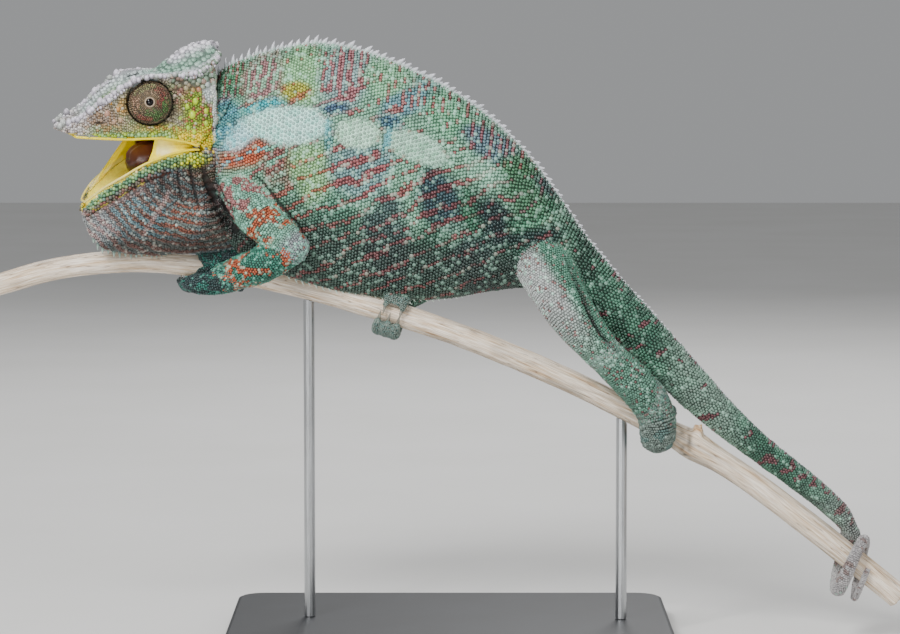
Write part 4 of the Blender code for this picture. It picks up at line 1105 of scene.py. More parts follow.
    def tube(self, name: str, path: Array, radii: Array, reference: tuple, flat: float = 1.0,
             columns: int = 40) -> Shell:
        """A round-ended tube: rings square to a path, wider by `flat` along one side.

        The ends gain rings that shrink as a circle does.
        """
        angles = np.linspace(0.0, 0.5 * math.pi, 9)[1:]
        first, last = unit(path[0] - path[1]), unit(path[-1] - path[-2])
        path = np.concatenate([(path[0] + first * radii[0] * np.sin(angles)[:, None])[::-1], path,
                               path[-1] + last * radii[-1] * np.sin(angles)[:, None]])
        tips = np.cos(angles * 0.97)
        radii = np.concatenate([(radii[0] * tips)[::-1], radii, radii[-1] * tips])
        along = unit(np.gradient(path, axis=0))
        side = unit(np.cross(along, np.asarray(reference, dtype=float)))
        up = np.cross(side, along)
        turn = np.linspace(0.0, 2 * math.pi, columns, endpoint=False)
        points = (path[:, None] + (up * radii[:, None])[:, None] * np.sin(turn)[None, :, None]
                  + (side * radii[:, None] * flat)[:, None] * np.cos(turn)[None, :, None])
        band = np.broadcast_to((np.sin(turn) * 0.5 + 0.5)[None, :, None], points.shape[:2] + (1,))
        return Shell(name, np.concatenate([points, band], axis=-1))

    def limb(self, name: str) -> Shell:
        """One limb segment: a rounded, slightly flattened run through its joint points."""
        knots = np.array([point for point, _ in self.limbs[name]])
        radii = np.array([radius for _, radius in self.limbs[name]])
        places = np.linspace(0.0, len(knots) - 1.0, 30)
        depth = self.coat_depth
        shell = self.tube(name, spline(knots, places), spline(radii, places) - depth, (0.0, 1.0, 0.0), 0.87)
        return shell.even(60, 64)

    def eye_axis(self, side: int) -> Array:
        """The way an eye looks; side is 1 for the left eye and -1 for the right one."""
        forward, left, _ = self.head_axes()
        return unit(np.array([0.10, -1.0, 0.04])) if side > 0 else unit(-left + 0.15 * forward)

    def eye_base(self, side: int) -> Array:
        """The middle of an eye turret's base."""
        return self.from_head((self.eye_back, side * self.eye_seat, 0.0))

    def about_eye(self, points: Array, side: int) -> tuple[Array, Array]:
        """Height of points along an eye's axis of sight, and their distance from it."""
        away, axis = points - self.eye_base(side), self.eye_axis(side)
        height = away @ axis
        return height, np.linalg.norm(away - np.outer(height, axis), axis=1)


@dataclass
class Branch:
    """The cut branch: its curve, thickness and the grip path of each foot."""

    ends: tuple = (-164.8, 163.1)
    path: tuple = ((-166.0, 128.6), (-145.0, 134.6), (-127.0, 137.3), (-108.0, 137.6), (-84.0, 134.6),
                   (-57.0, 129.2), (-30.0, 122.2), (-3.0, 113.7), (24.0, 103.3), (51.0, 91.1),
                   (82.0, 74.8), (105.0, 61.0), (126.0, 45.5), (147.0, 29.0), (166.0, 13.6))
    radii: tuple = (4.0, 4.6)
    bow: float = 8.5
    bow_x: float = -78.0
    bow_spread: float = 40.0
    knot_x: float = 88.0
    knot_swell: float = 1.1
    knot_spread: float = 6.0
    stub: tuple = ((88.5, 0.0, 71.0), (89.6, -3.2, 79.0))
    stub_radii: tuple = (3.4, 2.2)

    def centre(self, x: Array) -> Array:
        """Centre line of the branch at x: a smooth curve in height, with one bow sideways."""
        curve = sampled(self.path, 400)
        x = np.asarray(x, dtype=float)
        bow = self.bow * np.exp(-((x - self.bow_x) / self.bow_spread) ** 2)
        return np.stack([x, bow, np.interp(x, curve[:, 0], curve[:, 1])], axis=-1)

    def run(self, x: Array) -> tuple[Array, Array]:
        """Direction along the branch, and the upward direction square to it."""
        x = np.asarray(x, dtype=float)
        along = unit(self.centre(x + 2.0) - self.centre(x - 2.0))
        up = unit(np.stack([-along[..., 2], np.zeros_like(x), along[..., 0]], axis=-1))
        return along, up

    def radius(self, x: Array) -> Array:
        """Half thickness at x, which grows towards +X and swells at the knot."""
        x = np.asarray(x, dtype=float)
        share = (x - self.ends[0]) / (self.ends[1] - self.ends[0])
        swell = self.knot_swell * np.exp(-((x - self.knot_x) / self.knot_spread) ** 2)
        return self.radii[0] + (self.radii[1] - self.radii[0]) * share + swell

    def grip(self, x: float, slide: float, start: float, end: float, clearance: float, count: int) -> Array:
        """Points round the branch between two angles; 0 is on top, positive goes to -Y."""
        along, up = self.run(np.array(x))
        across = np.cross(along, up)
        angles = np.radians(np.linspace(start, end, count))
        reach = float(self.radius(x)) + clearance
        shift = np.linspace(0.0, 1.0, count)[:, None] * slide
        return (self.centre(x) + reach * (np.outer(np.cos(angles), up) + np.outer(np.sin(angles), across))
                + shift * along)


# ------------------------------------------------------------------ markings

class Region(Enum):
    """Where a scale grows; each region has its own markings."""

    BODY = "body"
    HEAD = "head"
    JAW = "jaw"
    ARM = "arm"
    LEG = "leg"
    FOOT = "foot"
    EYE = "eye"


@dataclass(frozen=True)
class Patch:
    """A soft-edged oval of colour: its middle and half sizes in mm, and its tilt in degrees.

    `main` is the tone of most scales, `accent` that of a share of them.
    """

    middle: tuple
    half: tuple
    tilt: float
    main: str
    accent: str
    share: float = 0.3
    strength: float = 1.0
    edge: float = 0.35
    ripple: float = 0.25

    def weight(self, across: Array, up: Array, wobble: Array) -> Array:
        """1 inside the oval, 0 outside, smooth and wobbling between."""
        turn = math.radians(self.tilt)
        dx, dz = across - self.middle[0], up - self.middle[1]
        u = (dx * math.cos(turn) + dz * math.sin(turn)) / self.half[0]
        v = (-dx * math.sin(turn) + dz * math.cos(turn)) / self.half[1]
        reach = np.sqrt(u * u + v * v) + wobble * self.ripple
        return self.strength * (1.0 - ease(reach, 1.0 - self.edge, 1.0 + self.edge))


@dataclass
class Markings:
    """The animal's colours, with the painted shade of its folds and grooves, as functions of place."""

    form: Form
    body: tuple = (
        # The back, from the nape to the rump.
        Patch((-77.0, 203.0), (6.5, 8.0), 0.0, "#4a805b", "#7a4c44", 0.35),
        Patch((-65.5, 203.0), (7.5, 11.0), -15.0, "#946c6c", "#86b092", 0.42),
        Patch((-52.5, 206.0), (7.5, 13.0), 0.0, "#8abb8a", "#9a6454", 0.05),
        Patch((-55.0, 199.0), (5.5, 3.4), 10.0, "#a1a13a", "#a36b3b", 0.4),
        Patch((-37.0, 204.0), (9.0, 12.0), -10.0, "#84a09e", "#9a6468", 0.55),
        Patch((-22.0, 203.0), (7.5, 8.5), -20.0, "#84b791", "#95605a", 0.14),
        Patch((-15.0, 195.5), (11.0, 5.0), 28.0, "#66929a", "#94605e", 0.42),
        Patch((0.0, 191.0), (10.0, 6.5), -42.0, "#6fa885", "#8f5a56", 0.2),
        Patch((14.0, 180.5), (11.0, 5.0), -30.0, "#5c7680", "#805058", 0.32),
        Patch((25.0, 171.5), (7.0, 4.5), -20.0, "#4a7d58", "#7a4a44", 0.2),
        Patch((34.0, 164.5), (6.0, 4.0), -30.0, "#3f5a58", "#5f3c42", 0.25),
        # Slate patches above the stripe and the blue behind the head.
        Patch((-41.0, 193.3), (5.0, 2.6), 0.0, "#415c75", "#78abab", 0.3),
        Patch((-21.5, 188.6), (5.5, 3.0), -15.0, "#3e6174", "#7fb4af", 0.3),
        Patch((-80.0, 189.0), (5.5, 10.0), -15.0, "#437c80", "#4a8896", 0.3),
        Patch((-66.0, 194.0), (8.0, 3.0), 10.0, "#2fa1a9", "#905d50", 0.2),
        # Brick, slate and leaf bands of the flank.
        Patch((-73.0, 177.5), (11.5, 5.2), 24.0, "#a44f32", "#72abb3", 0.16),
        Patch((-60.5, 173.0), (4.6, 10.0), 5.0, "#7d4d47", "#74ae94", 0.32),
        Patch((-49.0, 170.5), (7.5, 12.0), 0.0, "#88b17c", "#9c6244", 0.14),
        Patch((-31.5, 171.5), (11.5, 10.5), 12.0, "#6f9292", "#8c5052", 0.48),
        Patch((-12.0, 166.0), (7.5, 10.0), 15.0, "#7aab90", "#8b544f", 0.25),
        Patch((-3.0, 161.0), (8.5, 12.5), 24.0, "#2a444a", "#5c3438", 0.36),
        Patch((9.5, 155.0), (5.0, 11.0), 28.0, "#34644b", "#5c3c38", 0.16),
        Patch((17.5, 153.0), (6.0, 12.5), 32.0, "#1c3232", "#4c2c30", 0.2),
        Patch((31.0, 156.0), (9.0, 6.0), 28.0, "#32644a", "#558e70", 0.22),
        Patch((32.0, 146.0), (11.0, 5.0), 24.0, "#223e3a", "#5a3436", 0.16),
        # Lower flank, with dark bands between green ones.
        Patch((27.0, 161.5), (9.5, 6.0), -34.0, "#4c7d5c", "#6a5050", 0.15),
        Patch((-58.0, 155.0), (7.0, 13.0), 0.0, "#5f8a74", "#8a5044", 0.28),
        Patch((-41.0, 150.0), (9.0, 14.0), 0.0, "#4f806a", "#80524c", 0.18),
        Patch((-22.0, 147.0), (9.0, 16.0), 8.0, "#3f5654", "#6a4044", 0.25),
        Patch((-6.0, 140.0), (8.0, 12.0), 10.0, "#3a6a54", "#60403e", 0.14),
        Patch((9.0, 137.0), (8.0, 12.0), 20.0, "#243c3c", "#4e3034", 0.14),
        Patch((24.0, 134.0), (9.0, 9.0), 20.0, "#2f5f4c", "#4f3434", 0.08))
    stripe: tuple = (
        # The pale blotches of the side stripe.
        Patch((-73.5, 184.0), (8.0, 4.2), 40.0, "#86a9ac", "#6ca2a5", 0.3, 0.95, 0.45),
        Patch((-56.5, 187.5), (15.5, 6.9), -2.0, "#90b2aa", "#80aca2", 0.35, 1.0, 0.22),
        Patch((-32.5, 184.8), (8.4, 5.6), -8.0, "#8caa98", "#80a48e", 0.3, 1.0, 0.18),
        Patch((-12.0, 179.5), (12.5, 4.8), -22.0, "#86a594", "#7a9f8a", 0.3, 1.0, 0.22),
        Patch((12.0, 170.8), (7.5, 3.4), -30.0, "#8ab8a0", "#a8cdb6", 0.4, 0.75, 0.45),
        Patch((-43.0, 184.0), (1.5, 7.5), 0.0, "#408187", "#74b6b1", 0.4, 0.85, 0.4),
        Patch((-22.6, 181.5), (1.4, 6.0), -14.0, "#43848d", "#7cbab2", 0.4, 0.85, 0.4))
    skull: tuple = (
        Patch((19.0, -5.5), (9.0, 5.5), 20.0, "#877668", "#8e7358", 0.3),
        Patch((16.0, -9.5), (16.0, 2.0), 0.0, "#7f8c62", "#977c4e", 0.35),
        Patch((1.0, 0.0), (12.0, 12.0), 0.0, "#908364", "#848f62", 0.35),
        Patch((11.0, -1.0), (3.0, 2.6), 0.0, "#a08a5a", "#b08440", 0.28),
        Patch((-11.0, 4.0), (4.5, 9.0), 0.0, "#8c6254", "#8b8a66", 0.35),
        Patch((-16.0, -4.5), (7.2, 10.0), 0.0, "#71881c", "#985c38", 0.34),
        Patch((-19.0, 4.0), (2.2, 3.6), 0.0, "#b0b8b8", "#c2cac4", 0.4),
        Patch((-6.0, -9.5), (12.0, 2.6), 6.0, "#9ca63e", "#b0883c", 0.3),
        Patch((-18.0, -11.0), (4.0, 4.5), 0.0, "#b4b021", "#a8602c", 0.3),
        Patch((-12.0, -13.4), (13.0, 4.2), -6.0, "#dcbe00", "#a5b014", 0.28, 1.0, 0.25),
        Patch((-21.3, -3.0), (1.1, 10.0), 0.0, "#bcc9be", "#d4d9d0", 0.4))
    jowl: tuple = (
        Patch((-16.0, -25.0), (8.0, 4.0), 0.0, "#4e4b38", "#614838", 0.4),
        Patch((-11.0, -19.6), (8.5, 2.6), -4.0, "#82993a", "#c2c410", 0.4),
        Patch((20.0, -44.0), (7.0, 8.0), 0.0, "#85898a", "#957e7c", 0.4),
        Patch((9.0, -36.0), (9.0, 6.0), 35.0, "#6d8a90", "#6a564c", 0.42),
        Patch((-2.0, -42.0), (9.0, 6.0), 20.0, "#58747a", "#6a4438", 0.42),
        Patch((-11.0, -41.0), (7.0, 7.0), -10.0, "#7a8480", "#86503f", 0.42),
        Patch((-8.0, -29.0), (10.0, 5.0), 10.0, "#4c5a5a", "#553f38", 0.45),
        Patch((-4.0, -52.0), (18.0, 4.0), 0.0, "#4c504c", "#5f4038", 0.42),
        Patch((-25.0, -42.0), (7.0, 12.0), 0.0, "#525852", "#5f463e", 0.4))
    creases: tuple = (
        # Folds, sunk into the skin and darkened with painted shade: throat from shoulder, folds of the neck,
        # the throat's back and the groin.
        Crease(((-88.5, 175.0), (-85.5, 166.0), (-80.5, 158.0), (-75.5, 148.5)), 1.5, 1.5, 0.93),
        Crease(((-92.5, 175.0), (-91.0, 167.0), (-89.0, 157.0)), 1.1, 0.8, 0.9),
        Crease(((-96.5, 175.5), (-96.0, 168.0), (-95.0, 160.0)), 0.8, 0.6, 0.75),
        Crease(((-100.5, 174.0), (-101.5, 167.5), (-103.0, 161.5)), 0.6, 0.6, 0.55),
        Crease(((-84.0, 171.0), (-80.5, 163.0), (-75.0, 155.5)), 0.8, 0.7, 0.75),
        Crease(((-74.5, 203.5), (-79.0, 193.0), (-84.5, 185.0), (-90.0, 178.0)), 0.8, 0.55, 0.75),
        Crease(((-82.0, 206.0), (-82.6, 196.0), (-83.8, 188.0)), 0.5, 0.5, 0.6),
        Crease(((-77.0, 206.0), (-79.0, 198.0), (-82.0, 189.0)), 0.5, 0.5, 0.6),
        Crease(((40.7, 140.4), (45.5, 130.0), (50.8, 117.7), (56.0, 110.5), (61.9, 104.4)), 1.0, 0.9, 0.88),
        # A broad band of painted shadow in the gap between the pouch and the arm.
        Crease(((-86.0, 168.0), (-82.5, 157.0), (-77.5, 149.0), (-70.0, 142.0)), 0.9, 2.4, 0.93),
        Crease(((-71.0, 170.0), (-66.5, 167.4), (-60.2, 159.4), (-54.3, 152.6), (-50.5, 146.5)),
               1.1, 0.75, 0.88))

    # Place (x, z) near the jaw's corner in the head's frame, about which the pouch's folds run, and
    # their step in mm.
    pouch_heart: tuple = (-15.7, -16.3)
    pouch_step: float = 3.0
    # Length along the back from nape to tail tip in mm, over which ripples near the crest are counted.
    back_run: float = 430.0

    def pouch_phase(self, points: Array, x: Array, z: Array) -> Array:
        """Angle of the fold that passes a point: a turn for each step outward, bent by noise."""
        reach = np.hypot(x - self.pouch_heart[0], z - self.pouch_heart[1])
        return 2 * np.pi * reach / self.pouch_step + 2.2 * noise(points, 7.0, 44)

    def pouch_rings(self, points: Array, band: Array, run: Array) -> Array:
        """A field from 0 to 1 in arcs about the jaw's corner, as the pouch folds."""
        local = self.form.to_head(points)
        return 0.5 + 0.5 * np.sin(self.pouch_phase(points, local[:, 0], local[:, 2])
                                  + 0.5 * noise(points, 3.0, 47))

    def blots(self, points: Array, band: Array, run: Array) -> Array:
        """A field from 0 to 1 in blots of about 3 mm, as on the limbs."""
        return np.clip(0.5 + 0.75 * noise(points, 2.9, 33) + 0.25 * noise(points, 1.5, 34), 0.0, 1.0)

    def shin_rings(self, points: Array) -> Array:
        """Darkness of the furrows round the lower shins, 2.1 mm apart: 1 is unshaded."""
        along = points[:, 2] * 0.93 - points[:, 0] * 0.36
        wave = 0.5 + 0.5 * np.cos(2 * np.pi * along / 2.1 + 0.9 * noise(points, 6.0, 37))
        return 1.0 - 0.78 * wave ** 2 * (1.0 - ease(along, 52.0, 66.0))

    def nostril(self, local: Array) -> Array:
        """1 in the middle of each nostril, in the head's frame."""
        away = (local[:, 0] - 19.6) ** 2 / 1.6 + (local[:, 2] + 6.6) ** 2 / 0.8
        return np.exp(-away) * (np.abs(local[:, 1]) > 4.0)

    def crease_shade(self, points: Array) -> Array:
        """Darkness in folds, nostrils and the grooves round the eyes: 1 is unshaded."""
        shade = np.ones(len(points))
        for crease in self.creases:
            shade *= 1.0 - crease.dark * crease.weight(points[:, 0], points[:, 2])
        shade = np.where(points[:, 1] < 4.0, shade, 1.0)
        local = self.form.to_head(points)
        shade *= 1.0 - 0.9 * self.nostril(local)
        for side in (1, -1):
            height, radial = self.form.about_eye(points, side)
            near = (np.abs(height - 5.0) < 7.0) & (local[:, 1] * side > self.form.orbit_side)
            shade *= np.where(near, 0.05 + 0.95 * ease(radial, 8.2, 8.95), 1.0)
        return shade

    def blend(self, patches: tuple, across: Array, up: Array, wobble: Array,
              main: Array, accent: Array, share: Array) -> tuple[Array, Array, Array]:
        """Lay patches over a ground, one after another."""
        for patch in patches:
            weight = patch.weight(across, up, wobble)
            main = main + (linear(patch.main) - main) * weight[:, None]
            accent = accent + (linear(patch.accent) - accent) * weight[:, None]
            share = share + (patch.share - share) * weight
        return main, accent, share

    def fill(self, count: int, main: str, accent: str, share: float) -> tuple[Array, Array, Array]:
        """One ground for every scale."""
        return (np.tile(linear(main), (count, 1)), np.tile(linear(accent), (count, 1)),
                np.full(count, share))

    def streaks(self, points: Array, band: Array, run: Array) -> Array:
        """A field from 0 to 1 whose low values gather in slanting streaks.

        On the flank they rise to the rear and lie 5.6 mm apart; near the crest they stand square to
        it, 3.2 mm apart.
        """
        drift = noise(points, 8.0, 8) * 2.4 + noise(points, 3.0, 9)
        flank = 0.5 + 0.5 * np.sin(2 * np.pi * (points[:, 2] * 0.91 - points[:, 0] * 0.40) / 5.6 + drift)
        crest = 0.5 + 0.5 * np.sin(2 * np.pi * run * self.back_run / 3.2 + 1.4 * drift)
        top = 1.0 - ease(band, 0.10, 0.24)
        return flank * (1.0 - top) + crest * top

    def ribs(self, band: Array, run: Array) -> Array:
        """Painted shade between the upright ribs of scales under the crest, 1.7 mm apart."""
        wave = 0.5 + 0.5 * np.cos(2 * np.pi * run * self.back_run / 1.7)
        return 1.0 - 0.5 * wave ** 2 * (1.0 - ease(band, 0.03, 0.10)) * (1.0 - ease(run, 0.55, 0.7))

    def body_tones(self, points: Array, band: Array, run: Array) -> tuple[Array, Array, Array]:
        """Back, flank, belly and tail, then patches, then the pale stripe."""
        x, z = points[:, 0], points[:, 2]
        wobble = noise(points, 7.0, 3) + 0.5 * noise(points, 3.0, 5)
        main, accent, share = self.fill(len(x), "#78a68c", "#8c5452", 0.16)
        main, accent, share = self.blend(self.body, x, z, wobble, main, accent, share)
        # Darker towards the belly: partly the lower flank's own colour, partly painted shade.
        low = (ease(band, 0.60, 0.80) * (1.0 - ease(x, 20.0, 45.0)))[:, None]
        main = main + (linear("#2d3c37") - main) * low * 0.9
        accent = accent + (linear("#5c3836") - accent) * low * 0.6
        tail = ease(x, 33.0, 48.0)[:, None]
        leaf = linear("#2b5040") + (linear("#4a7862") - linear("#2b5040")) * ease(
            noise(points, 5.0, 11) + 0.5 * noise(points, 2.2, 14), -0.3, 0.8)[:, None]
        bright = np.interp(x, (42.0, 55.0, 70.0, 88.0, 104.0, 120.0), (0.62, 0.9, 1.1, 1.6, 1.2, 1.1))
        leaf = leaf * bright[:, None]
        pale = 0.55 * ease(x, 72.0, 86.0) * (1.0 - ease(x, 96.0, 112.0))
        leaf = toward(leaf, "#84958a", pale)
        main = main + (leaf - main) * tail
        accent = toward(accent, "#633c40", tail)
        dots = ease(noise(points, 3.4, 12) + 0.5 * noise(points, 12.0, 13), 0.15, 0.75)
        share = share + (0.42 * dots - share) * tail[:, 0]
        main = main * (1.0 - 0.22 * ease(x, 10.0, 24.0) * (1.0 - tail[:, 0]))[:, None]
        grey = ease(run, 0.66, 0.82)[:, None]
        main, accent = tinted(main, accent, ("#a5a2a2", "#877672"), grey)
        neck = (1.0 - ease(x, -86.0, -80.0))[:, None]
        main = toward(main, "#3f7674", neck)
        main, accent, share = self.blend(self.stripe, x, z, wobble * 0.45, main, accent, share)
        # Painted shade between the ribs under the crest.
        rib = self.ribs(band, run)[:, None]
        return main * rib, accent * rib, share

    def head_tones(self, points: Array, band: Array, region: Region) -> tuple[Array, Array, Array]:
        """Markings of the skull, or of the jaw and throat, in the head's own frame."""
        local = self.form.to_head(points)
        x, z = local[:, 0], local[:, 2]
        wobble = 0.6 * noise(points, 5.0, 21) + 0.4 * noise(points, 2.0, 22)
        if region is Region.HEAD:
            main, accent, share = self.fill(len(points), "#999b8a", "#8a8270", 0.3)
            main, accent, share = self.blend(self.skull, x, z, wobble, main, accent, share)
            lip = ease(band, 0.55, 0.60) * ease(x, -10.0, -3.0)
            main, accent = tinted(main, accent, ("#83a867", "#93b026"), lip)
            edge = ease(band, 0.655, 0.675) * (1.0 - ease(x, 24.0, 27.0))
            main, accent = tinted(main, accent, ("#e0c414", "#d8c83a"), edge)
            tip = ease(x, 20.0, 28.0)
            main, accent = tinted(main, accent, ("#bbb5b3", "#978a84"), tip * (1 - 0.6 * edge))
            roof = ((1.0 - ease(band, 0.20, 0.25)) * (1.0 - 0.9 * tip))[:, None]
            green = toward(linear("#aab8b6"), "#6f9a82", 1 - ease(x, -8.0, 4.0))
            spindle = np.exp(-((x - 13.0) / 5.0) ** 2 - ((band - 0.05) / 0.06) ** 2 + 0.5 * wobble)[:, None]
            green = green + (linear("#86a271") - green) * np.minimum(spindle, 1.0)
            main = main + (green - main) * roof
            accent = accent + (1.15 * green - accent) * roof
            ridge = np.exp(-((band - 0.215) / 0.07) ** 2)
            ridge = np.maximum(ridge, np.exp(-(band / 0.06) ** 2) * (1.0 - ease(x, -9.0, -5.0)))[:, None]
            main, accent = tinted(main, accent, ("#d8d4dc", "#bab6c0"), ridge)
            side = (ease(z, 5.5, 8.5) * (1.0 - ease(x, -6.0, -3.0)) * (band > 0.2))[:, None]
            main, accent = tinted(main, accent, ("#7d927e", "#8d7568"), side)
            return main, accent, share
        main, accent, share = self.fill(len(points), "#5f7074", "#64504a", 0.45)
        main, accent, share = self.blend(self.jowl, x, z, wobble, main, accent, share)
        for start, end in (((4.5, -30.0), (23.0, -40.5)), ((-4.5, -31.0), (3.0, -46.0))):
            run = np.array(end) - np.array(start)
            away = np.stack([x - start[0], z - start[1]], axis=1)
            t = np.clip(away @ run / (run @ run), 0.0, 1.0)
            near = np.exp(-(np.linalg.norm(away - t[:, None] * run, axis=1) / 0.75) ** 2)[:, None]
            main, accent = tinted(main, accent, ("#a08a86", "#8f706a"), near)
        lip = 1.0 - ease(band + 0.02 * wobble, 0.44, 0.50)
        main, accent = tinted(main, accent, ("#4f7a58", "#83a66a"), lip * ease(x, -14.0, -4.0))
        share = share + (0.4 - share) * lip
        under = (ease(band, 0.46, 0.50) * (1.0 - ease(band, 0.53, 0.57)) * ease(x, -2.0, 6.0))[:, None]
        main, accent = tinted(main, accent, ("#5d5646", "#7a4c42"), under)
        shade = (1.0 - 0.3 * np.exp(-((band - 0.55) / 0.05) ** 2))[:, None]
        main, accent = main * shade, accent * shade
        tip = ease(x, 19.6, 21.4) * (1.0 - ease(band, 0.40, 0.50)) * (local[:, 1] < 1.0)
        edge = np.maximum(1.0 - ease(band, 0.30, 0.345), tip)
        main, accent = tinted(main, accent, ("#e2d08c", "#e0c41c"), edge)
        return main, accent, share

    def limb_tones(self, points: Array, name: str, run: Array) -> tuple[Array, Array, Array]:
        """Brick upper arms, turquoise forearms with orange patches, pale thighs, green shins."""
        if "upper_arm" in name:
            main, accent, share = self.fill(len(points), "#699782", "#8f5448", 0.10)
            bands = ((0.30, 0.17, "#90605e", 0.7), (0.575, 0.055, "#a8522e", 0.66),
                     (0.70, 0.035, "#a8522e", 0.45))
            for middle, half, code, much in bands:
                away = np.abs(run - middle + 0.03 * noise(points, 3.0, 35))
                weight = 1.0 - ease(away, half * 0.6, half * 1.3)
                accent = accent + (linear(code) - accent) * weight[:, None]
                share = share + (much - share) * weight
            elbow = ease(run, 0.72, 0.84)[:, None]
            main = toward(main, "#83898c", elbow)
        elif "forearm" in name:
            main, accent, share = self.fill(len(points), "#2a6a58", "#a04a28", 0.34)
            elbow = (1.0 - ease(run, 0.05, 0.25))[:, None]
            main = toward(main, "#7d8c88", elbow)
        elif "hand" in name:
            main, accent, share = self.fill(len(points), "#14302e", "#1f6054", 0.3)
            tip = ease(run, 0.4, 1.0)[:, None]
            main = toward(main, "#2d3e41", tip)
        elif "thigh" in name:
            main, accent, share = self.fill(len(points), "#a5aaa8", "#86605e", 0.07)
            lower = ease(run, 0.45, 0.85)[:, None]
            main = toward(main, "#5f8270", lower)
            hip = (1.0 - ease(run + 0.04 * noise(points, 3.0, 36), 0.06, 0.26))[:, None]
            main, accent = tinted(main, accent, ("#56695f", "#5f4442"), hip)
            share = share + 0.25 * hip[:, 0]
            rear = ease(points[:, 0] * 0.82 + points[:, 2] * 0.57, 104.0, 109.0)[:, None]
            main = toward(main, "#4f7f6a", rear)
        elif "shin" in name:
            main, accent, share = self.fill(len(points), "#557f6c", "#6d4a48", 0.10)
            main = main * self.shin_rings(points)[:, None]
            knee = (1.0 - ease(run, 0.1, 0.3))[:, None]
            main = toward(main, "#84928e", knee)
        else:
            main, accent, share = self.fill(len(points), "#68776f", "#54706a", 0.3)
        return main, accent, share


# ------------------------------------------------------------------ skin and coat

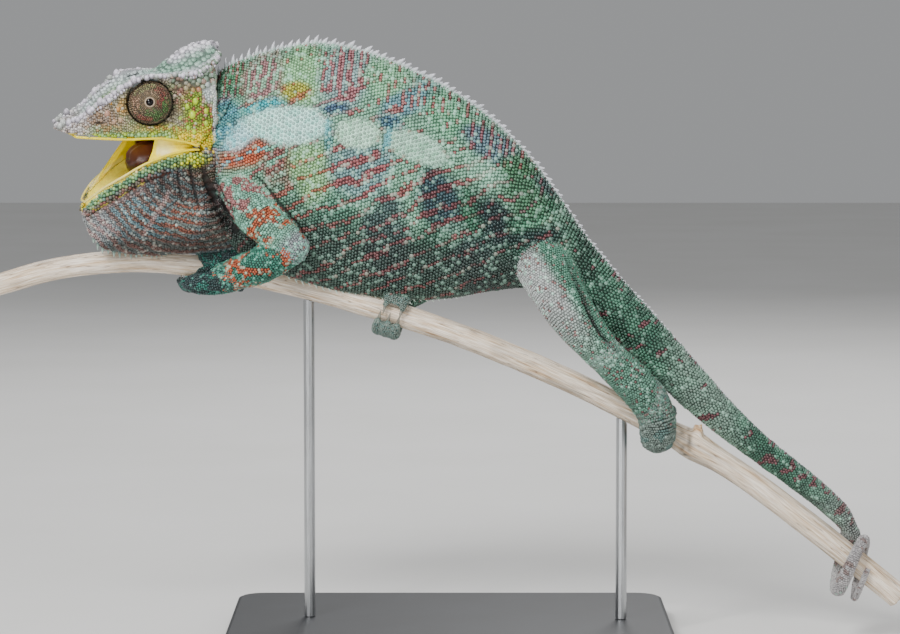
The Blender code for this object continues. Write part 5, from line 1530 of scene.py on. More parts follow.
@dataclass
class Hidework:
    """The one skin over all flesh, and the coat of scales that grows on it."""

    form: Form
    branch: Branch
    markings: Markings
    palette: Palette
    voxel: float = 0.75
    seed: int = 7
    # How tone, width and height differ from scale to scale.
    tone_spread: tuple = (0.76, 1.24)
    wide_spread: tuple = (0.84, 1.12)
    tall_spread: tuple = (0.85, 1.2)
    # A pebble's width and height over its neighbours'.
    pebble_wide: float = 1.4
    pebble_tall: float = 1.25
    # Weights of the field and of chance in where accent scales lie.
    gather_shares: tuple = (0.80, 0.20)
    # Painted shade: further darkening of the skin at the foot of dark and of pale scales.
    groove_shade_keep: tuple = (0.79, 0.84)
    # Most scales in one coat piece, which keeps it under 200,000 triangles.
    piece_scales: int = 8500
    flesh: tuple = (
        "neck", "trunk_front", "trunk_rear", "tail_root", "tail_middle", "tail_end", "tail_coil", "head",
        "lower_jaw", "throat", "upper_arm_left", "upper_arm_right", "forearm_left", "forearm_right",
        "thigh_left", "thigh_right", "shin_left", "shin_right", "hand_left_upper", "hand_left_lower",
        "hand_right_upper", "hand_right_lower", "foot_left_upper", "foot_left_lower",
        "foot_right_upper", "foot_right_lower")

    def toe_shells(self, name: str) -> list[Shell]:
        """A gripping bundle: a flat mitten and one rounded toe for each claw, bent round the branch."""
        x, slide, start, end, thick, broad, toes, spread, mitten = self.form.feet[name]
        along, _ = self.branch.run(np.array(x))
        taper = spline(np.array([0.80, 0.98, 1.0, 0.98, 0.92, 0.80, 0.60]), np.linspace(0.0, 6.0, 24))
        path = self.branch.grip(x, slide, start, end, thick + 0.3, 24)
        shells = []
        width = broad * 1.25 / toes
        for toe in range(toes):
            offset = broad * (toe / (toes - 1) - 0.5) * spread
            shift = along * offset * np.linspace(0.8, 1.1, 24)[:, None]
            radii = (thick - 0.5) * taper
            shells.append(self.form.tube(name, path + shift, radii, tuple(along), 1.0, 28).even(40, 32))
        flat = (broad - 0.6) / max(thick - 0.8, 0.5)
        palm = self.branch.grip(x, slide, start, start + (end - start) * mitten, thick + 0.3, 24)
        tangent = unit(np.gradient(palm, axis=0))
        outward = np.cross(unit(np.cross(tangent, np.cross(along, tangent))), tangent)
        shells.append(self.form.tube(name, palm, (thick - 0.8) * taper, tuple(unit(outward.mean(axis=0))),
                                     min(flat, width), 36).even(40, 40))
        return shells

    def shells(self) -> dict[str, Shell]:
        """Every form that the skin is drawn over, by name."""
        made = {"body": self.form.body(), "head": self.form.head(), "lower_jaw": self.form.lower_jaw()}
        for name in self.form.limbs:
            made[name] = self.form.limb(name)
        rows = sampled(self.form.skull, 160)
        brow = rows[(rows[:, 0] < 30.5) & (rows[:, 0] > -22.5)]
        for word, side in (("left", 1.0), ("right", -1.0)):
            path = np.stack([brow[:, 0], side * brow[:, 2] * 0.93, brow[:, 3] - 1.0], axis=1)
            made[f"brow_{word}"] = self.form.tube("brow", self.form.from_head(path), np.full(len(path), 1.0),
                                                  (0.0, 0.0, 1.0))
        keel = rows[(rows[:, 0] < -4.5) & (rows[:, 0] > -24.6)]
        path = np.stack([keel[:, 0], 0.0 * keel[:, 0], keel[:, 1] - 1.25], axis=1)
        made["keel"] = self.form.tube("keel", self.form.from_head(path), np.full(len(path), 1.15),
                                      (0.0, 1.0, 0.0))
        for name, knots in self.form.wrists.items():
            points = np.array([knot[:3] for knot in knots])
            radii = np.array([knot[3] for knot in knots])
            steps = np.linspace(0.0, len(knots) - 1.0, 24)
            made[name] = self.form.tube(name, spline(points, steps), spline(radii, steps), (0.0, 1.0, 0.0),
                                        0.9).even(40, 48)
        for name in self.form.feet:
            for number, shell in enumerate(self.toe_shells(name)):
                made[f"{name}_{number}"] = shell
        return made

    def sculpt(self, points: Array) -> Array:
        """Folds and hollows of the skin, as moves along its normals in mm.

        A ring groove lies round each eye, fan folds hang from the jaw, shallow creases run down
        the neck, and rings of furrows cross the lower left shin.
        """
        move = 0.10 * noise(points, 2.6, 41) + 0.08 * noise(points, 1.4, 42)
        local = self.form.to_head(points)
        x, w, z = local.T
        for side in (1, -1):
            height, radial = self.form.about_eye(points, side)
            near = (height > -2.0) & (height < 12.0) & (w * side > self.form.orbit_side)
            groove = (1.0 - ease(radial, 7.9, 8.7)) * near
            rim = np.exp(-((radial - 9.3) / 0.9) ** 2) * near
            move += 0.45 * rim - 1.6 * groove
        lip = np.interp(-x, -np.array(self.form.jaw)[:, 0], np.array(self.form.jaw)[:, 2])
        below = lip - z
        throat = ease(below, 6.0, 9.0) * (1.0 - ease(-x, 20.0, 32.0)) * ease(-z, 20.0, 24.0) * (x < 30.0)
        folds = -np.sin(self.markings.pouch_phase(points, x, z))
        move += 0.42 * folds * throat * (0.6 + 0.4 * noise(points, 5.0, 46))
        chin = (x < 24.0) & (x > -6.0)
        move -= 1.0 * np.exp(-((below - 5.9) / 0.7) ** 2) * chin
        move += 0.5 * np.exp(-((below - 7.6) / 1.0) ** 2) * chin * ease(x, 0.0, 6.0)
        shin = (points[:, 0] > 54.0) & (points[:, 0] < 84.0) & (points[:, 1] < 6.0) & (points[:, 2] < 104.0)
        shin &= points[:, 2] < 168.0 - 1.03 * points[:, 0]
        move -= 0.45 * (1.0 - self.markings.shin_rings(points)) * shin
        move -= 1.3 * self.markings.nostril(local)
        near = points[:, 1] < 4.0
        for crease in self.markings.creases:
            move -= crease.depth * crease.weight(points[:, 0], points[:, 2]) * near
        return move

    def build_skin(self) -> bpy.types.Object:
        """Join the shells into one closed skin by a voxel remesh, smooth it and sculpt its folds."""
        self.forms = self.shells()
        skin = fused("skin", self.forms.values(), self.voxel, 5, self.palette.skin.make())
        self.skin, mesh = skin, skin.data
        points = mesh_points(mesh)
        move_points(mesh, points + mesh_normals(mesh) * self.sculpt(points)[:, None])
        self.points, self.normals = mesh_points(mesh), mesh_normals(mesh)
        quads = np.zeros(len(mesh.loops), np.int32)
        mesh.loops.foreach_get("vertex_index", quads)
        totals = np.zeros(len(mesh.polygons), np.int32)
        mesh.polygons.foreach_get("loop_total", totals)
        starts = np.concatenate([[0], np.cumsum(totals)[:-1]])
        self.face_corner = quads[starts]
        self.face_other = quads[starts + 2]
        corner_lists = np.split(quads, starts[1:])
        self.tree = BVHTree.FromPolygons(self.points.tolist(), [c.tolist() for c in corner_lists])
        return skin

    def snap(self, points: Array) -> tuple[Array, Array, Array]:
        """Nearest places on the skin, its smooth normals there, and how far away they are."""
        found = [self.tree.find_nearest(point) for point in points.tolist()]
        where = np.array([item[0] for item in found])
        index = np.array([item[2] for item in found])
        distance = np.array([item[3] for item in found])
        normal = unit(self.normals[self.face_corner[index]] + self.normals[self.face_other[index]])
        return where, normal, distance

    def grow(self, shell: Shell, pitch: tuple, keep: Field, tones: Field, size: float = 0.56,
             tall: float = 0.42, reach: float = 0.9, loose: float = 0.14, gather: Field | None = None,
             pebbles: tuple = (0.0, 0.0), pebble_tone: str = "#93bda8",
             foot: tuple = (0.28, 0.62)) -> Scales:
        """Grow scales on the part of a shell that shows as skin.

        Args:
            shell: The form whose rows the scales follow.
            pitch: Distance between neighbours in mm, from its first ring to its last.
            keep: Function of the roots, outline places and shares of the run that says which grow.
            tones: Function of the same that gives main tone, accent tone and accent share.
            size: Radius of a scale as a share of the pitch.
            tall: Height of a scale as a share of the pitch.
            reach: How far the skin may lie from the shell; past it the root is inside the body.
            loose: Share of the pitch by which spots shift.
            gather: Field of the same that says where accent scales crowd together.
            pebbles: Share of larger, paler scales, from the first ring to the last.
            pebble_tone: Their colour.
            foot: Share of its tone at the foot of a dark and of a pale scale: painted shade in the groove
                where it is below 1, paler skin where it is above 1.
        Returns:
            The scales.
        """
        rng = np.random.default_rng(self.seed + len(shell.name) + int(100 * pitch[0]))
        spots = shell.lattice(np.array(pitch, dtype=float), rng, loose)
        channels = shell.at(spots[:, 0], spots[:, 1])
        run = spots[:, 0] / (shell.grid.shape[0] - 1.0)
        chosen = keep(channels[:, :3], channels[:, 3], run)
        spots, channels, run = spots[chosen], channels[chosen], run[chosen]
        root, normal, distance = self.snap(channels[:, :3])
        shown = distance < reach
        spots, channels, run = spots[shown], channels[shown], run[shown]
        root, normal = root[shown], normal[shown]
        ahead = shell.at(np.minimum(spots[:, 0] + 1.0, shell.grid.shape[0] - 1.0), spots[:, 1])[:, :3]
        back = shell.at(np.maximum(spots[:, 0] - 1.0, 0.0), spots[:, 1])[:, :3]
        along = unit(ahead - back)
        along = square_to(normal, along)
        local = graded(run, pitch)
        main, accent, share = tones(root, channels[:, 3], run)
        chance = rng.random(len(root))
        if gather is not None:
            gathered, free = self.gather_shares
            chance = gathered * gather(root, channels[:, 3], run) + free * chance
        picked = ease(chance - share, 0.05, -0.05)[:, None]
        tone = main + (accent - main) * picked
        large = rng.random(len(root)) < graded(run, pebbles)
        pale = 0.3 + 0.25 * ease(tone.mean(axis=1), 0.05, 0.25)
        tone = tone + (linear(pebble_tone) - tone) * (pale * large)[:, None]
        tone = tone * rng.uniform(*self.tone_spread, (len(root), 1))
        shade = self.markings.crease_shade(root)[:, None]
        tone = tone * shade
        # The skin under each scale takes its tone, with painted shade from the folds and from the groove at
        # the scale's foot.
        ground = (main + (accent - main) * picked) * shade
        ground = ground * groove_shade(ground, self.groove_shade_keep[0] * foot[0], self.groove_shade_keep[1] * foot[1])
        radius = local * size * rng.uniform(*self.wide_spread, len(root))
        radius = radius * np.where(large, self.pebble_wide, 1.0)
        height = local * tall * rng.uniform(*self.tall_spread, len(root))
        height = height * np.where(large, self.pebble_tall, 1.0)
        spot = np.stack([run, (spots[:, 1] / shell.grid.shape[1]) % 1.0], axis=1)
        return Scales(root, normal, along, radius, height, np.ones(len(root)), np.zeros(len(root)),
                      tone, ground, spot, groove_shade(tone, *foot)[:, 0])


def everywhere(points: Array, band: Array, run: Array) -> Array:
    """Keep every root."""
    return np.ones(len(points), dtype=bool)


def build_coat(hide: Hidework) -> None:
    """Grow the coat region by region and make its pieces."""
    form, marks = hide.form, hide.markings
    forms = hide.forms
    material = hide.palette.scales.make()

    def stripe_weight(points: Array) -> Array:
        """1 inside the pale blotches of the side stripe, whose scales are larger."""
        wobble = 0.45 * (noise(points, 7.0, 3) + 0.5 * noise(points, 3.0, 5))
        return np.max([p.weight(points[:, 0], points[:, 2], wobble) for p in marks.stripe[:4]], axis=0)

    body = forms["body"]
    fine = hide.grow(body, (1.05, 1.2, 1.28, 1.3, 1.3, 1.25, 1.15, 1.05, 0.95, 0.85, 0.75, 0.65),
                     lambda p, b, r: (stripe_weight(p) < 0.5) & (r > 0.02), marks.body_tones, tall=0.48,
                     gather=marks.streaks,
                     pebbles=(0.10, 0.12, 0.12, 0.12, 0.08, 0.07, 0.06, 0.02, 0.0, 0.0))
    broad = hide.grow(body, (1.55, 1.55), lambda p, b, r: stripe_weight(p) >= 0.5, marks.body_tones,
                      size=0.47, tall=0.34, loose=0.08, foot=(2.1, 2.3))
    groups = {"body": Scales.join([fine, broad])}

    def head_tones(points: Array, band: Array, run: Array) -> tuple[Array, Array, Array]:
        """Tones of the skull."""
        return marks.head_tones(points, band, Region.HEAD)

    def tiled(points: Array, band: Array) -> Array:
        """Where the casque and the roof carry broad flat shields."""
        local = form.to_head(points)
        return (local[:, 2] > 4.5) & (local[:, 0] < -5.0) | (band < 0.2) & (local[:, 0] < 30.0)

    def lipped(points: Array, band: Array) -> Array:
        """Above the upper lip's edge, behind which the mouth's lining begins."""
        return band < np.where(form.to_head(points)[:, 0] > -12.0, LIP_EDGE, LIP_BACK)

    def plated(points: Array, band: Array) -> Array:
        """The row of plates along the upper lip."""
        return (band > PLATE_TOP) & (band < LIP_EDGE) & (form.to_head(points)[:, 0] > -10.0)

    head = forms["head"]
    groups["head"] = Scales.join([
        hide.grow(head, (1.5, 1.45, 1.4), lambda p, b, r: plated(p, b), head_tones, size=0.54, tall=0.34,
                  reach=1.5, loose=0.12, foot=(0.4, 0.66)),
        hide.grow(head, (1.05, 0.95, 0.95, 1.0, 1.0),
                  lambda p, b, r: lipped(p, b) & ~tiled(p, b) & ~plated(p, b), head_tones,
                  reach=1.5, loose=0.22, pebbles=(0.06, 0.06), pebble_tone="#b8b0a0", foot=(0.5, 0.74)),
        hide.grow(head, (1.35, 1.45, 1.8, 2.3, 2.4), lambda p, b, r: (b < LIP_BACK) & tiled(p, b), head_tones,
                  size=0.54, tall=0.24, reach=1.9, loose=0.26, foot=(0.42, 0.6))])

    def jaw_tones(points: Array, band: Array, run: Array) -> tuple[Array, Array, Array]:
        """Tones of the lower jaw and the throat."""
        return marks.head_tones(points, band, Region.JAW)

    jaw = forms["lower_jaw"]
    groups["throat"] = Scales.join([
        hide.grow(jaw, (1.35, 1.35), lambda p, b, r: (b > JAW_LIP) & (b < POUCH_TOP), jaw_tones, tall=0.5),
        hide.grow(jaw, (0.84, 0.86, 0.92, 0.95, 0.92), lambda p, b, r: b >= POUCH_TOP, jaw_tones, loose=0.28,
                  gather=marks.pouch_rings, pebbles=(0.07, 0.06), pebble_tone="#b4b8ac", foot=(0.42, 0.66))])

    for title, members, pitch in (
            ("arms", ("upper_arm_left", "forearm_left", "upper_arm_right", "forearm_right"),
             (1.0, 0.96, 0.95)),
            ("legs", ("thigh_left", "shin_left", "thigh_right", "shin_right"), (1.0, 1.0, 0.95))):
        grown = []
        for name in members:
            grown.append(hide.grow(forms[name], pitch, everywhere,
                                   lambda p, b, r, name=name: marks.limb_tones(p, name, r),
                                   gather=marks.blots if title == "arms" else None,
                                   pebbles=(0.08, 0.26) if title == "arms" else (0.05, 0.10),
                                   pebble_tone="#8ed4bc" if title == "arms" else "#a4d2be"))
        groups[title] = spread_spots(grown)
    grown = []
    for name in form.feet:
        parts = [key for key in forms if key.startswith(name)]
        for part in parts:
            grown.append(hide.grow(forms[part], (0.85, 0.8), everywhere,
                                   lambda p, b, r, name=name: marks.limb_tones(p, name, r), reach=0.95))
    for name, kind, pale in (("wrist_left", "hand_left", "#5fb8a2"), ("wrist_right", "hand_right", "#5fb8a2"),
                             ("ankle_left", "foot_left", "#93a89e")):
        grown.append(hide.grow(forms[name], (1.05, 0.85), everywhere,
                               lambda p, b, r, kind=kind: marks.limb_tones(p, kind, 0.3 + r * 0.5),
                               gather=marks.blots, pebbles=(0.06, 0.04), pebble_tone=pale, reach=0.6))
    groups["feet"] = spread_spots(grown)

    everything = []
    for title, scales in groups.items():
        everything.append(scales)
        parts = math.ceil(len(scales.root) / hide.piece_scales)
        order = np.argsort(scales.spot[:, 0], kind="stable")
        for number, chosen in enumerate(np.array_split(order, parts)):
            piece = scales.pick(chosen)
            low, high = piece.spot.min(axis=0), piece.spot.max(axis=0)
            piece.spot = 0.01 + 0.98 * (piece.spot - low) / np.maximum(high - low, 1e-6)
            place(piece.mesh(f"coat_{title}_{number + 1}", material), "skin")
    paint_skin(hide, Scales.join(everything))


def spread_spots(groups: list[Scales]) -> Scales:
    """Give each form its own rectangle of the unwrap, side by side."""
    rows = math.ceil(math.sqrt(len(groups)))
    for number, group in enumerate(groups):
        corner = np.array([number % rows, number // rows])
        group.spot = (corner + 0.03 + 0.94 * group.spot) / rows
    return Scales.join(groups)


def paint_skin(hide: Hidework, scales: Scales) -> None:
    """Give each skin point the ground tone of the scale nearest to it; the mouth's inside is bare."""
    tree = KDTree(len(scales.root))
    for number, root in enumerate(scales.root.tolist()):
        tree.insert(root, number)
    tree.balance()
    nearest = np.array([tree.find(point)[1:] for point in hide.points.tolist()])
    ground = scales.ground[nearest[:, 0].astype(int)]
    local = hide.form.to_head(hide.points)
    x, w, z = local.T
    table = sampled(hide.form.jaw, 300)
    lip_z = np.interp(-x, -table[:, 0], table[:, 2])
    lip_w = np.interp(-x, -table[:, 0], table[:, 1])
    skull = sampled(hide.form.skull, 300)
    top_w = np.interp(-x, -skull[:, 0], skull[:, 6])
    palate = np.interp(-x, -skull[:, 0], skull[:, 7])
    lower = (np.abs(w) < lip_w - 0.9) & (z < lip_z + 1.5) & (z > lip_z - 6.5) & (x > -18.0) & (x < 23.5)
    upper = (np.abs(w) < top_w - 0.6) & (z > palate - 2.0) & (z < palate + 5.0) & (x > -18.0) & (x < 32.5)
    upper &= hide.normals @ hide.form.head_axes()[2] < 0.2
    deep = np.where(lower, lip_z - z, z - palate)
    rim = 1.0 - ease(deep, -0.5, 1.6)
    back = 1.0 - ease(x, 0.0, 5.0)
    inside = linear("#ecdb58") + (linear("#5a2c1e") - linear("#ecdb58")) * (
        back * ease(deep, 0.2, 1.6))[:, None]
    inside = toward(inside, "#e9d014", rim)
    bare = (lower | upper) & (nearest[:, 1] > 0.8)
    tones = np.where(bare[:, None], inside, ground)
    set_colour(hide.skin, tones)
    hide.skin.data.materials.clear()
    hide.skin.data.materials.append(hide.palette.skin.make())
    hide.skin.data.materials.append(hide.palette.lining.make())
    wet = bare[hide.face_corner] & bare[hide.face_other]
    hide.skin.data.polygons.foreach_set("material_index", wet.astype(np.int32))
    place(hide.skin, "skin", *hide.flesh)


# ------------------------------------------------------------------ eyes, mouth, trimmings

@dataclass
class Eye:
    """A cone-shaped turret of fused lids round a small wet eyeball."""

    form: Form
    palette: Palette
    # Outline of the turret (distance from the axis of sight, height) in mm, base to pupil.
    profile: tuple = ((7.6, -1.0), (7.7, 1.2), (7.72, 3.2), (7.35, 5.1), (6.7, 6.6), (5.8, 7.85),
                      (4.6, 8.85), (3.4, 9.5), (2.45, 9.85), (2.0, 10.12), (1.55, 10.3), (1.26, 10.15),
                      (1.15, 9.75), (1.3, 9.0))
    # Arcs of colour: angle in degrees, distance, half angle, half width, tone.
    arcs: tuple = (
        (40.0, 5.4, 30.0, 1.4, "#7c4c3e"), (5.0, 4.2, 30.0, 1.4, "#743c30"),
        (-60.0, 5.4, 36.0, 1.6, "#50703c"), (-15.0, 5.6, 24.0, 1.0, "#557c40"),
        (-105.0, 6.0, 26.0, 1.0, "#7e4a3c"), (178.0, 5.0, 30.0, 1.6, "#94745c"),
        (110.0, 5.4, 34.0, 1.2, "#7c7a52"), (-100.0, 3.8, 40.0, 0.9, "#5a7040"),
        (75.0, 3.4, 40.0, 0.8, "#88735a"))
    rows: int = 150
    columns: int = 96
    # First row with granules, 1.3 mm above the base, and the row after the last, at the lid's ring.
    dome: tuple = (12, 104)
    ball: float = 2.3
    ball_height: float = 7.75

    def tones(self, angle: Array, radius: Array, points: Array,
              rng: np.random.Generator | None = None) -> Array:
        """Olive-brown with brick and leaf arcs, and a pale lid about the pupil; painted shade darkens the
        turret's foot and two concentric grooves.

        Args:
            angle: Turn about the axis of sight.
            radius: Distance from it in mm.
            points: Places in mm, for the noise.
            rng: Picks each place's colour by chance instead of mixing it.
        Returns:
            The tones.
        """
        wobble = 0.5 * noise(points, 1.6, 61) + 0.3 * noise(points, 0.7, 62)
        tone = np.tile(linear("#6c5b42"), (len(radius), 1))
        for middle, ring, half, thick, code in self.arcs:
            turn = (np.degrees(angle) - middle + 180.0) % 360.0 - 180.0
            near = np.hypot(turn / half, (radius - ring) / thick) + wobble
            share = 0.75 * (1.0 - ease(near, 0.5, 1.6))
            if rng is not None:
                share = np.where(rng.random(len(radius)) < share, 1.0, 0.25 * share)
            tone = tone + (linear(code) - tone) * share[:, None]
        # Painted shade at the turret's foot, in the groove round it.
        tone = tone * (1.0 - 0.85 * ease(radius, 7.15, 7.6))[:, None]
        # Painted shade in two concentric grooves.
        groove = np.exp(-((radius - 6.75) / 0.16) ** 2) + 0.7 * np.exp(-((radius - 5.2) / 0.13) ** 2)
        tone = tone * (1.0 - 0.62 * np.clip(groove, 0.0, 1.0))[:, None]
        lid = (1.0 - ease(radius, 1.45, 2.0))[:, None]
        return tone + (linear("#a8957f") - tone) * lid

    def build(self, side: int) -> None:
        """Turn the turret, set concentric granules on it and put the eyeball behind the lids."""
        word = "left" if side > 0 else "right"
        axis, base = self.form.eye_axis(side), self.form.eye_base(side)
        shell = lathe("turret", self.profile, base, axis, self.rows, self.columns)
        points, faces = shell.solid()
        local = points - base
        height = local @ axis
        flat = local - np.outer(height, axis)
        right = unit(np.cross((0.0, 0.0, 1.0), axis))
        angle = np.arctan2(flat @ np.cross(axis, right), flat @ right)
        radius = np.linalg.norm(flat, axis=1)
        wrinkle = 0.05 * np.sin(angle * 30.0) * np.exp(-((radius - 1.9) / 0.45) ** 2)
        made = new_object(f"turret_{word}", points + axis * wrinkle[:, None], faces, self.palette.skin.make())
        tones = self.tones(angle, radius, points)
        # Painted shade: the lid's inner lip, down in the opening, is near-black, and the turret's skin under
        # the granules keeps about a quarter of its tone.
        deep = radius < 1.38
        tones = tones * np.where(radius > 2.0, 0.26, 1.0)[:, None]
        set_colour(made, np.where(deep[:, None], linear("#2a211c"), tones))
        place(made, "skin", f"eye_turret_{word}")
        rng = np.random.default_rng(71)
        dome = Shell("dome", shell.grid[self.dome[0]:self.dome[1]])
        sizes = np.array([0.86, 0.82, 0.74, 0.62, 0.52])
        spots = dome.lattice(sizes, rng, 0.2)
        channels = dome.at(spots[:, 0], spots[:, 1])
        root, normal = channels[:, :3], dome.normal_at(spots[:, 0], spots[:, 1])
        turn = spots[:, 1] / self.columns * 2 * np.pi
        around = unit(right * -np.sin(turn)[:, None] + np.cross(axis, right) * np.cos(turn)[:, None])
        share = spots[:, 0] / (len(dome.grid) - 1.0)
        pitch = np.interp(share, np.linspace(0, 1, 5), sizes)
        tone = self.tones(turn, channels[:, 3], root, rng) * rng.uniform(0.55, 1.5, (len(root), 1))
        count = len(root)
        coat = Scales(root, normal, around, pitch * 0.43, pitch * 0.40, np.full(count, 1.22), np.zeros(count),
                      tone, tone, 0.02 + 0.96 * np.stack([share, spots[:, 1] / self.columns], axis=1),
                      np.full(count, 0.36))
        place(coat.mesh(f"coat_turret_{word}", self.palette.scales.make()), "skin")
        half = np.linspace(-0.5 * np.pi, 0.5 * np.pi, 15)
        ring = tuple((max(self.ball * math.cos(a), 0.01), self.ball_height + self.ball * math.sin(a))
                     for a in half)
        points, faces = lathe("ball", ring, base, axis, 40, 48).solid()
        ball = new_object(f"cornea_{word}", points, faces, self.palette.cornea.make())
        place(ball, "eye", f"eyeball_{word}")


@dataclass
class Mouth:
    """The open mouth's lining, the tongue's pad and the small teeth of the lower jaw."""

    form: Form
    palette: Palette
    # Front edges on the near and the far side, where the lining leaves the lower and the upper lip.
    lower_front: tuple = (3.2, 20.2)
    upper_front: tuple = (0.4, 0.8)
    tongue_middle: tuple = (-1.2, -0.8, -21.2)
    tongue_half: tuple = (8.2, 6.4, 6.6)

    def rim(self, fronts: tuple, table: tuple, wide: int, high: int, inner: float, lift: float) -> Array:
        """A horseshoe line that follows a lip from the near side round the back to the far side."""
        xs = np.array([fronts[0], -4.0, -11.0, -15.5, -17.5, -15.5, -11.0, -5.0,
                       0.5 * (fronts[1] - 4.0), fronts[1]])
        side = np.array([1.0, 1.0, 1.0, 0.72, 0.0, -0.72, -1.0, -1.0, -1.0, -1.0])
        rows = sampled(table, 300)
        lip_w = np.interp(-xs, -rows[:, 0], rows[:, wide]) - inner
        lip_z = np.interp(-xs, -rows[:, 0], rows[:, high]) + lift
        return spline(np.stack([xs, side * lip_w, lip_z], axis=1), np.linspace(0.0, 9.0, 150))

    def build(self) -> None:
        """Stretch the lining between both rims, then add tongue and teeth."""
        lower = self.rim(self.lower_front, self.form.jaw, LOWER_LIP_W, LOWER_LIP_Z, 1.1, -0.7)
        upper = self.rim(self.upper_front, self.form.skull, UPPER_LIP_W, UPPER_LIP_Z, 1.7, 1.2)
        v = np.linspace(0.0, 1.0, 26)[None, :, None]
        sheet = lower[:, None] * (1.0 - v) + upper[:, None] * v
        share = np.linspace(0.0, 1.0, 150)
        middle = np.array([-2.0, 0.0, 0.0])
        inward = middle - sheet
        inward[..., 2] = 0.0
        inward = unit(inward)
        belly = np.sin(np.pi * v[..., 0])
        corner = 1.0 - ease(share, 0.0, 0.30)
        ends = 1.0 - np.exp(-(np.minimum(share, 1.0 - share) / 0.03) ** 2)
        sheet[..., 0] += 2.2 * belly * ease(share, 0.72, 1.0)[:, None]
        sheet[..., 0] -= 1.0 * belly * (1.0 - ease(np.minimum(share, 1.0 - share), 0.0, 0.12))[:, None]
        ridges = np.sin(v[..., 0] * 2 * np.pi * 3.2 + 0.8 * noise(sheet, 3.0, 81)) * (1.0 - corner)[:, None]
        ridges = ridges * (share < 0.45)[:, None]
        outer = sheet + inward * (0.9 * belly + 0.55 * ridges)[..., None]
        thick = (0.5 + 1.3 * belly * ends[:, None])[..., None]
        inner = outer + inward * thick
        ring = np.concatenate([outer, inner[:, ::-1]], axis=1)
        grid = np.concatenate([self.form.from_head(ring), np.zeros(ring.shape[:2] + (1,))], axis=-1)
        points, faces = Shell("lining", grid).solid()
        local = self.form.to_head(points)
        made = new_object("mouth_membrane", points, faces, self.palette.lining.make())
        set_colour(made, self.tones(local, points))
        place(made, "mouth_lining", "mouth_lining")
        self.lips()
        self.tongue()
        self.teeth()

    def lips(self) -> None:
        """Smooth yellow edges where the lining meets the scales of both lips: bent thin tubes."""
        tubes, tints = [], []
        # Table, its lip columns, front and back end in mm, rise, inset and paleness towards the front.
        for table, wide, high, front, back, lift, inset, fade in (
                (self.form.skull, UPPER_LIP_W, UPPER_LIP_Z, 27.6, -14.6, 0.25, 0.55, 0.0),
                (self.form.jaw, LOWER_LIP_W, LOWER_LIP_Z, 22.6, -15.4, 0.35, 0.95, 0.45)):
            rows = sampled(table, 400)
            rows = rows[(rows[:, 0] < front) & (rows[:, 0] > back)]
            half = np.stack([rows[:, 0], rows[:, wide] - inset, rows[:, high] + lift], axis=1)
            path = np.concatenate([half[::-1] * np.array([1.0, -1.0, 1.0]), half])
            path = self.form.from_head(path)
            shell = self.form.tube("lip", path, np.full(len(path), 0.46), (0.0, 0.0, 1.0), 0.8, 12)
            shell = shell.even(260, 12)
            tubes.append(shell)
            pale = ease(self.form.to_head(shell.solid()[0])[:, 0], -2.0, 14.0)[:, None] * fade
            tints.append(linear("#e6d008") + (linear("#d8cfa4") - linear("#e6d008")) * pale)
        made = new_object("lip_edges", *merged(tubes), self.palette.lining.make())
        set_colour(made, np.concatenate(tints))
        place(made, "mouth_lining")

    def tones(self, local: Array, points: Array) -> Array:
        """Cream with yellow rims and folds; brown-red deep inside, darkened towards the bottom with painted
        shade.
        """
        x, w, z = local.T
        cream, yellow, deep = linear("#fbf3cf"), linear("#fbe000"), linear("#5c2e1e")
        patch = ease(noise(points, 3.2, 82) + 0.4 * noise(points, 1.3, 83), 0.0, 0.7)
        near = (w > 3.0) & (x > -20.0)
        front = 0.8 + 1.25 * (-13.5 - z)
        rim = np.where(near, 1.0 - ease(np.abs(x - 1.6), 0.8, 2.6), 1.0 - ease(np.abs(x - front), 1.2, 4.6))
        rim = np.maximum(rim, np.where(near, 0.0, 1.0 - ease(np.abs(x - 2.6), 1.0, 3.4)))
        corner = np.where(near, 1.0 - ease(x + 2.2 * noise(points, 2.0, 85), -11.0, -3.0), 0.0)
        lip = 1.0 - ease(z, -18.6, -16.8)
        base = np.where(near, 0.35 + 0.45 * ease(z, -17.5, -13.0), 0.42 + 0.4 * ease(z, -27.0, -19.0))
        yellowness = np.clip(base + rim + corner * 0.8 + 0.45 * patch + 0.4 * lip * near, 0.0, 1.0)
        tone = cream + (yellow - cream) * yellowness[:, None]
        brown = np.where(near, 0.0, 1.0 - ease(x, 0.6, 1.6))
        # The brown-red lining darkens towards the bottom: painted shade deep in the mouth.
        dark = deep * (0.45 + 0.75 * ease(z, -24.0, -14.0))[:, None]
        return tone + (dark - tone) * brown[:, None]

    def tongue(self) -> None:
        """A fleshy pad with a middle groove, an oval with its own three radii."""
        profile = tuple((math.cos(a) ** 0.8 + 0.003, math.sin(a)) for a in np.linspace(-1.56, 1.56, 25))
        shell = lathe("pad", profile, np.zeros(3), np.array([1.0, 0.0, 0.0]), 60, 64)
        unit_points = shell.grid[..., :3]
        groove = 0.14 * np.exp(-(unit_points[..., 1] / 0.28) ** 2) * (unit_points[..., 2] > 0)
        rough = 0.03 * noise(unit_points, 0.25, 84)
        grid = unit_points * (1.0 - groove + rough)[..., None] * np.array(self.tongue_half)
        grid = self.form.from_head(grid + np.array(self.tongue_middle))
        shell = Shell("pad", np.concatenate([grid, shell.grid[..., 3:]], axis=-1))
        points, faces = shell.solid()
        made = new_object("tongue_pad", points, faces, self.palette.lining.make())
        # Painted shade: the pad darkens from brown on top to near-black underneath.
        height = ease(self.form.to_head(points)[:, 2], -25.0, -15.0)[:, None]
        set_colour(made, linear("#32150d") + (linear("#80482f") - linear("#32150d")) * height)
        place(made, "tongue", "tongue")

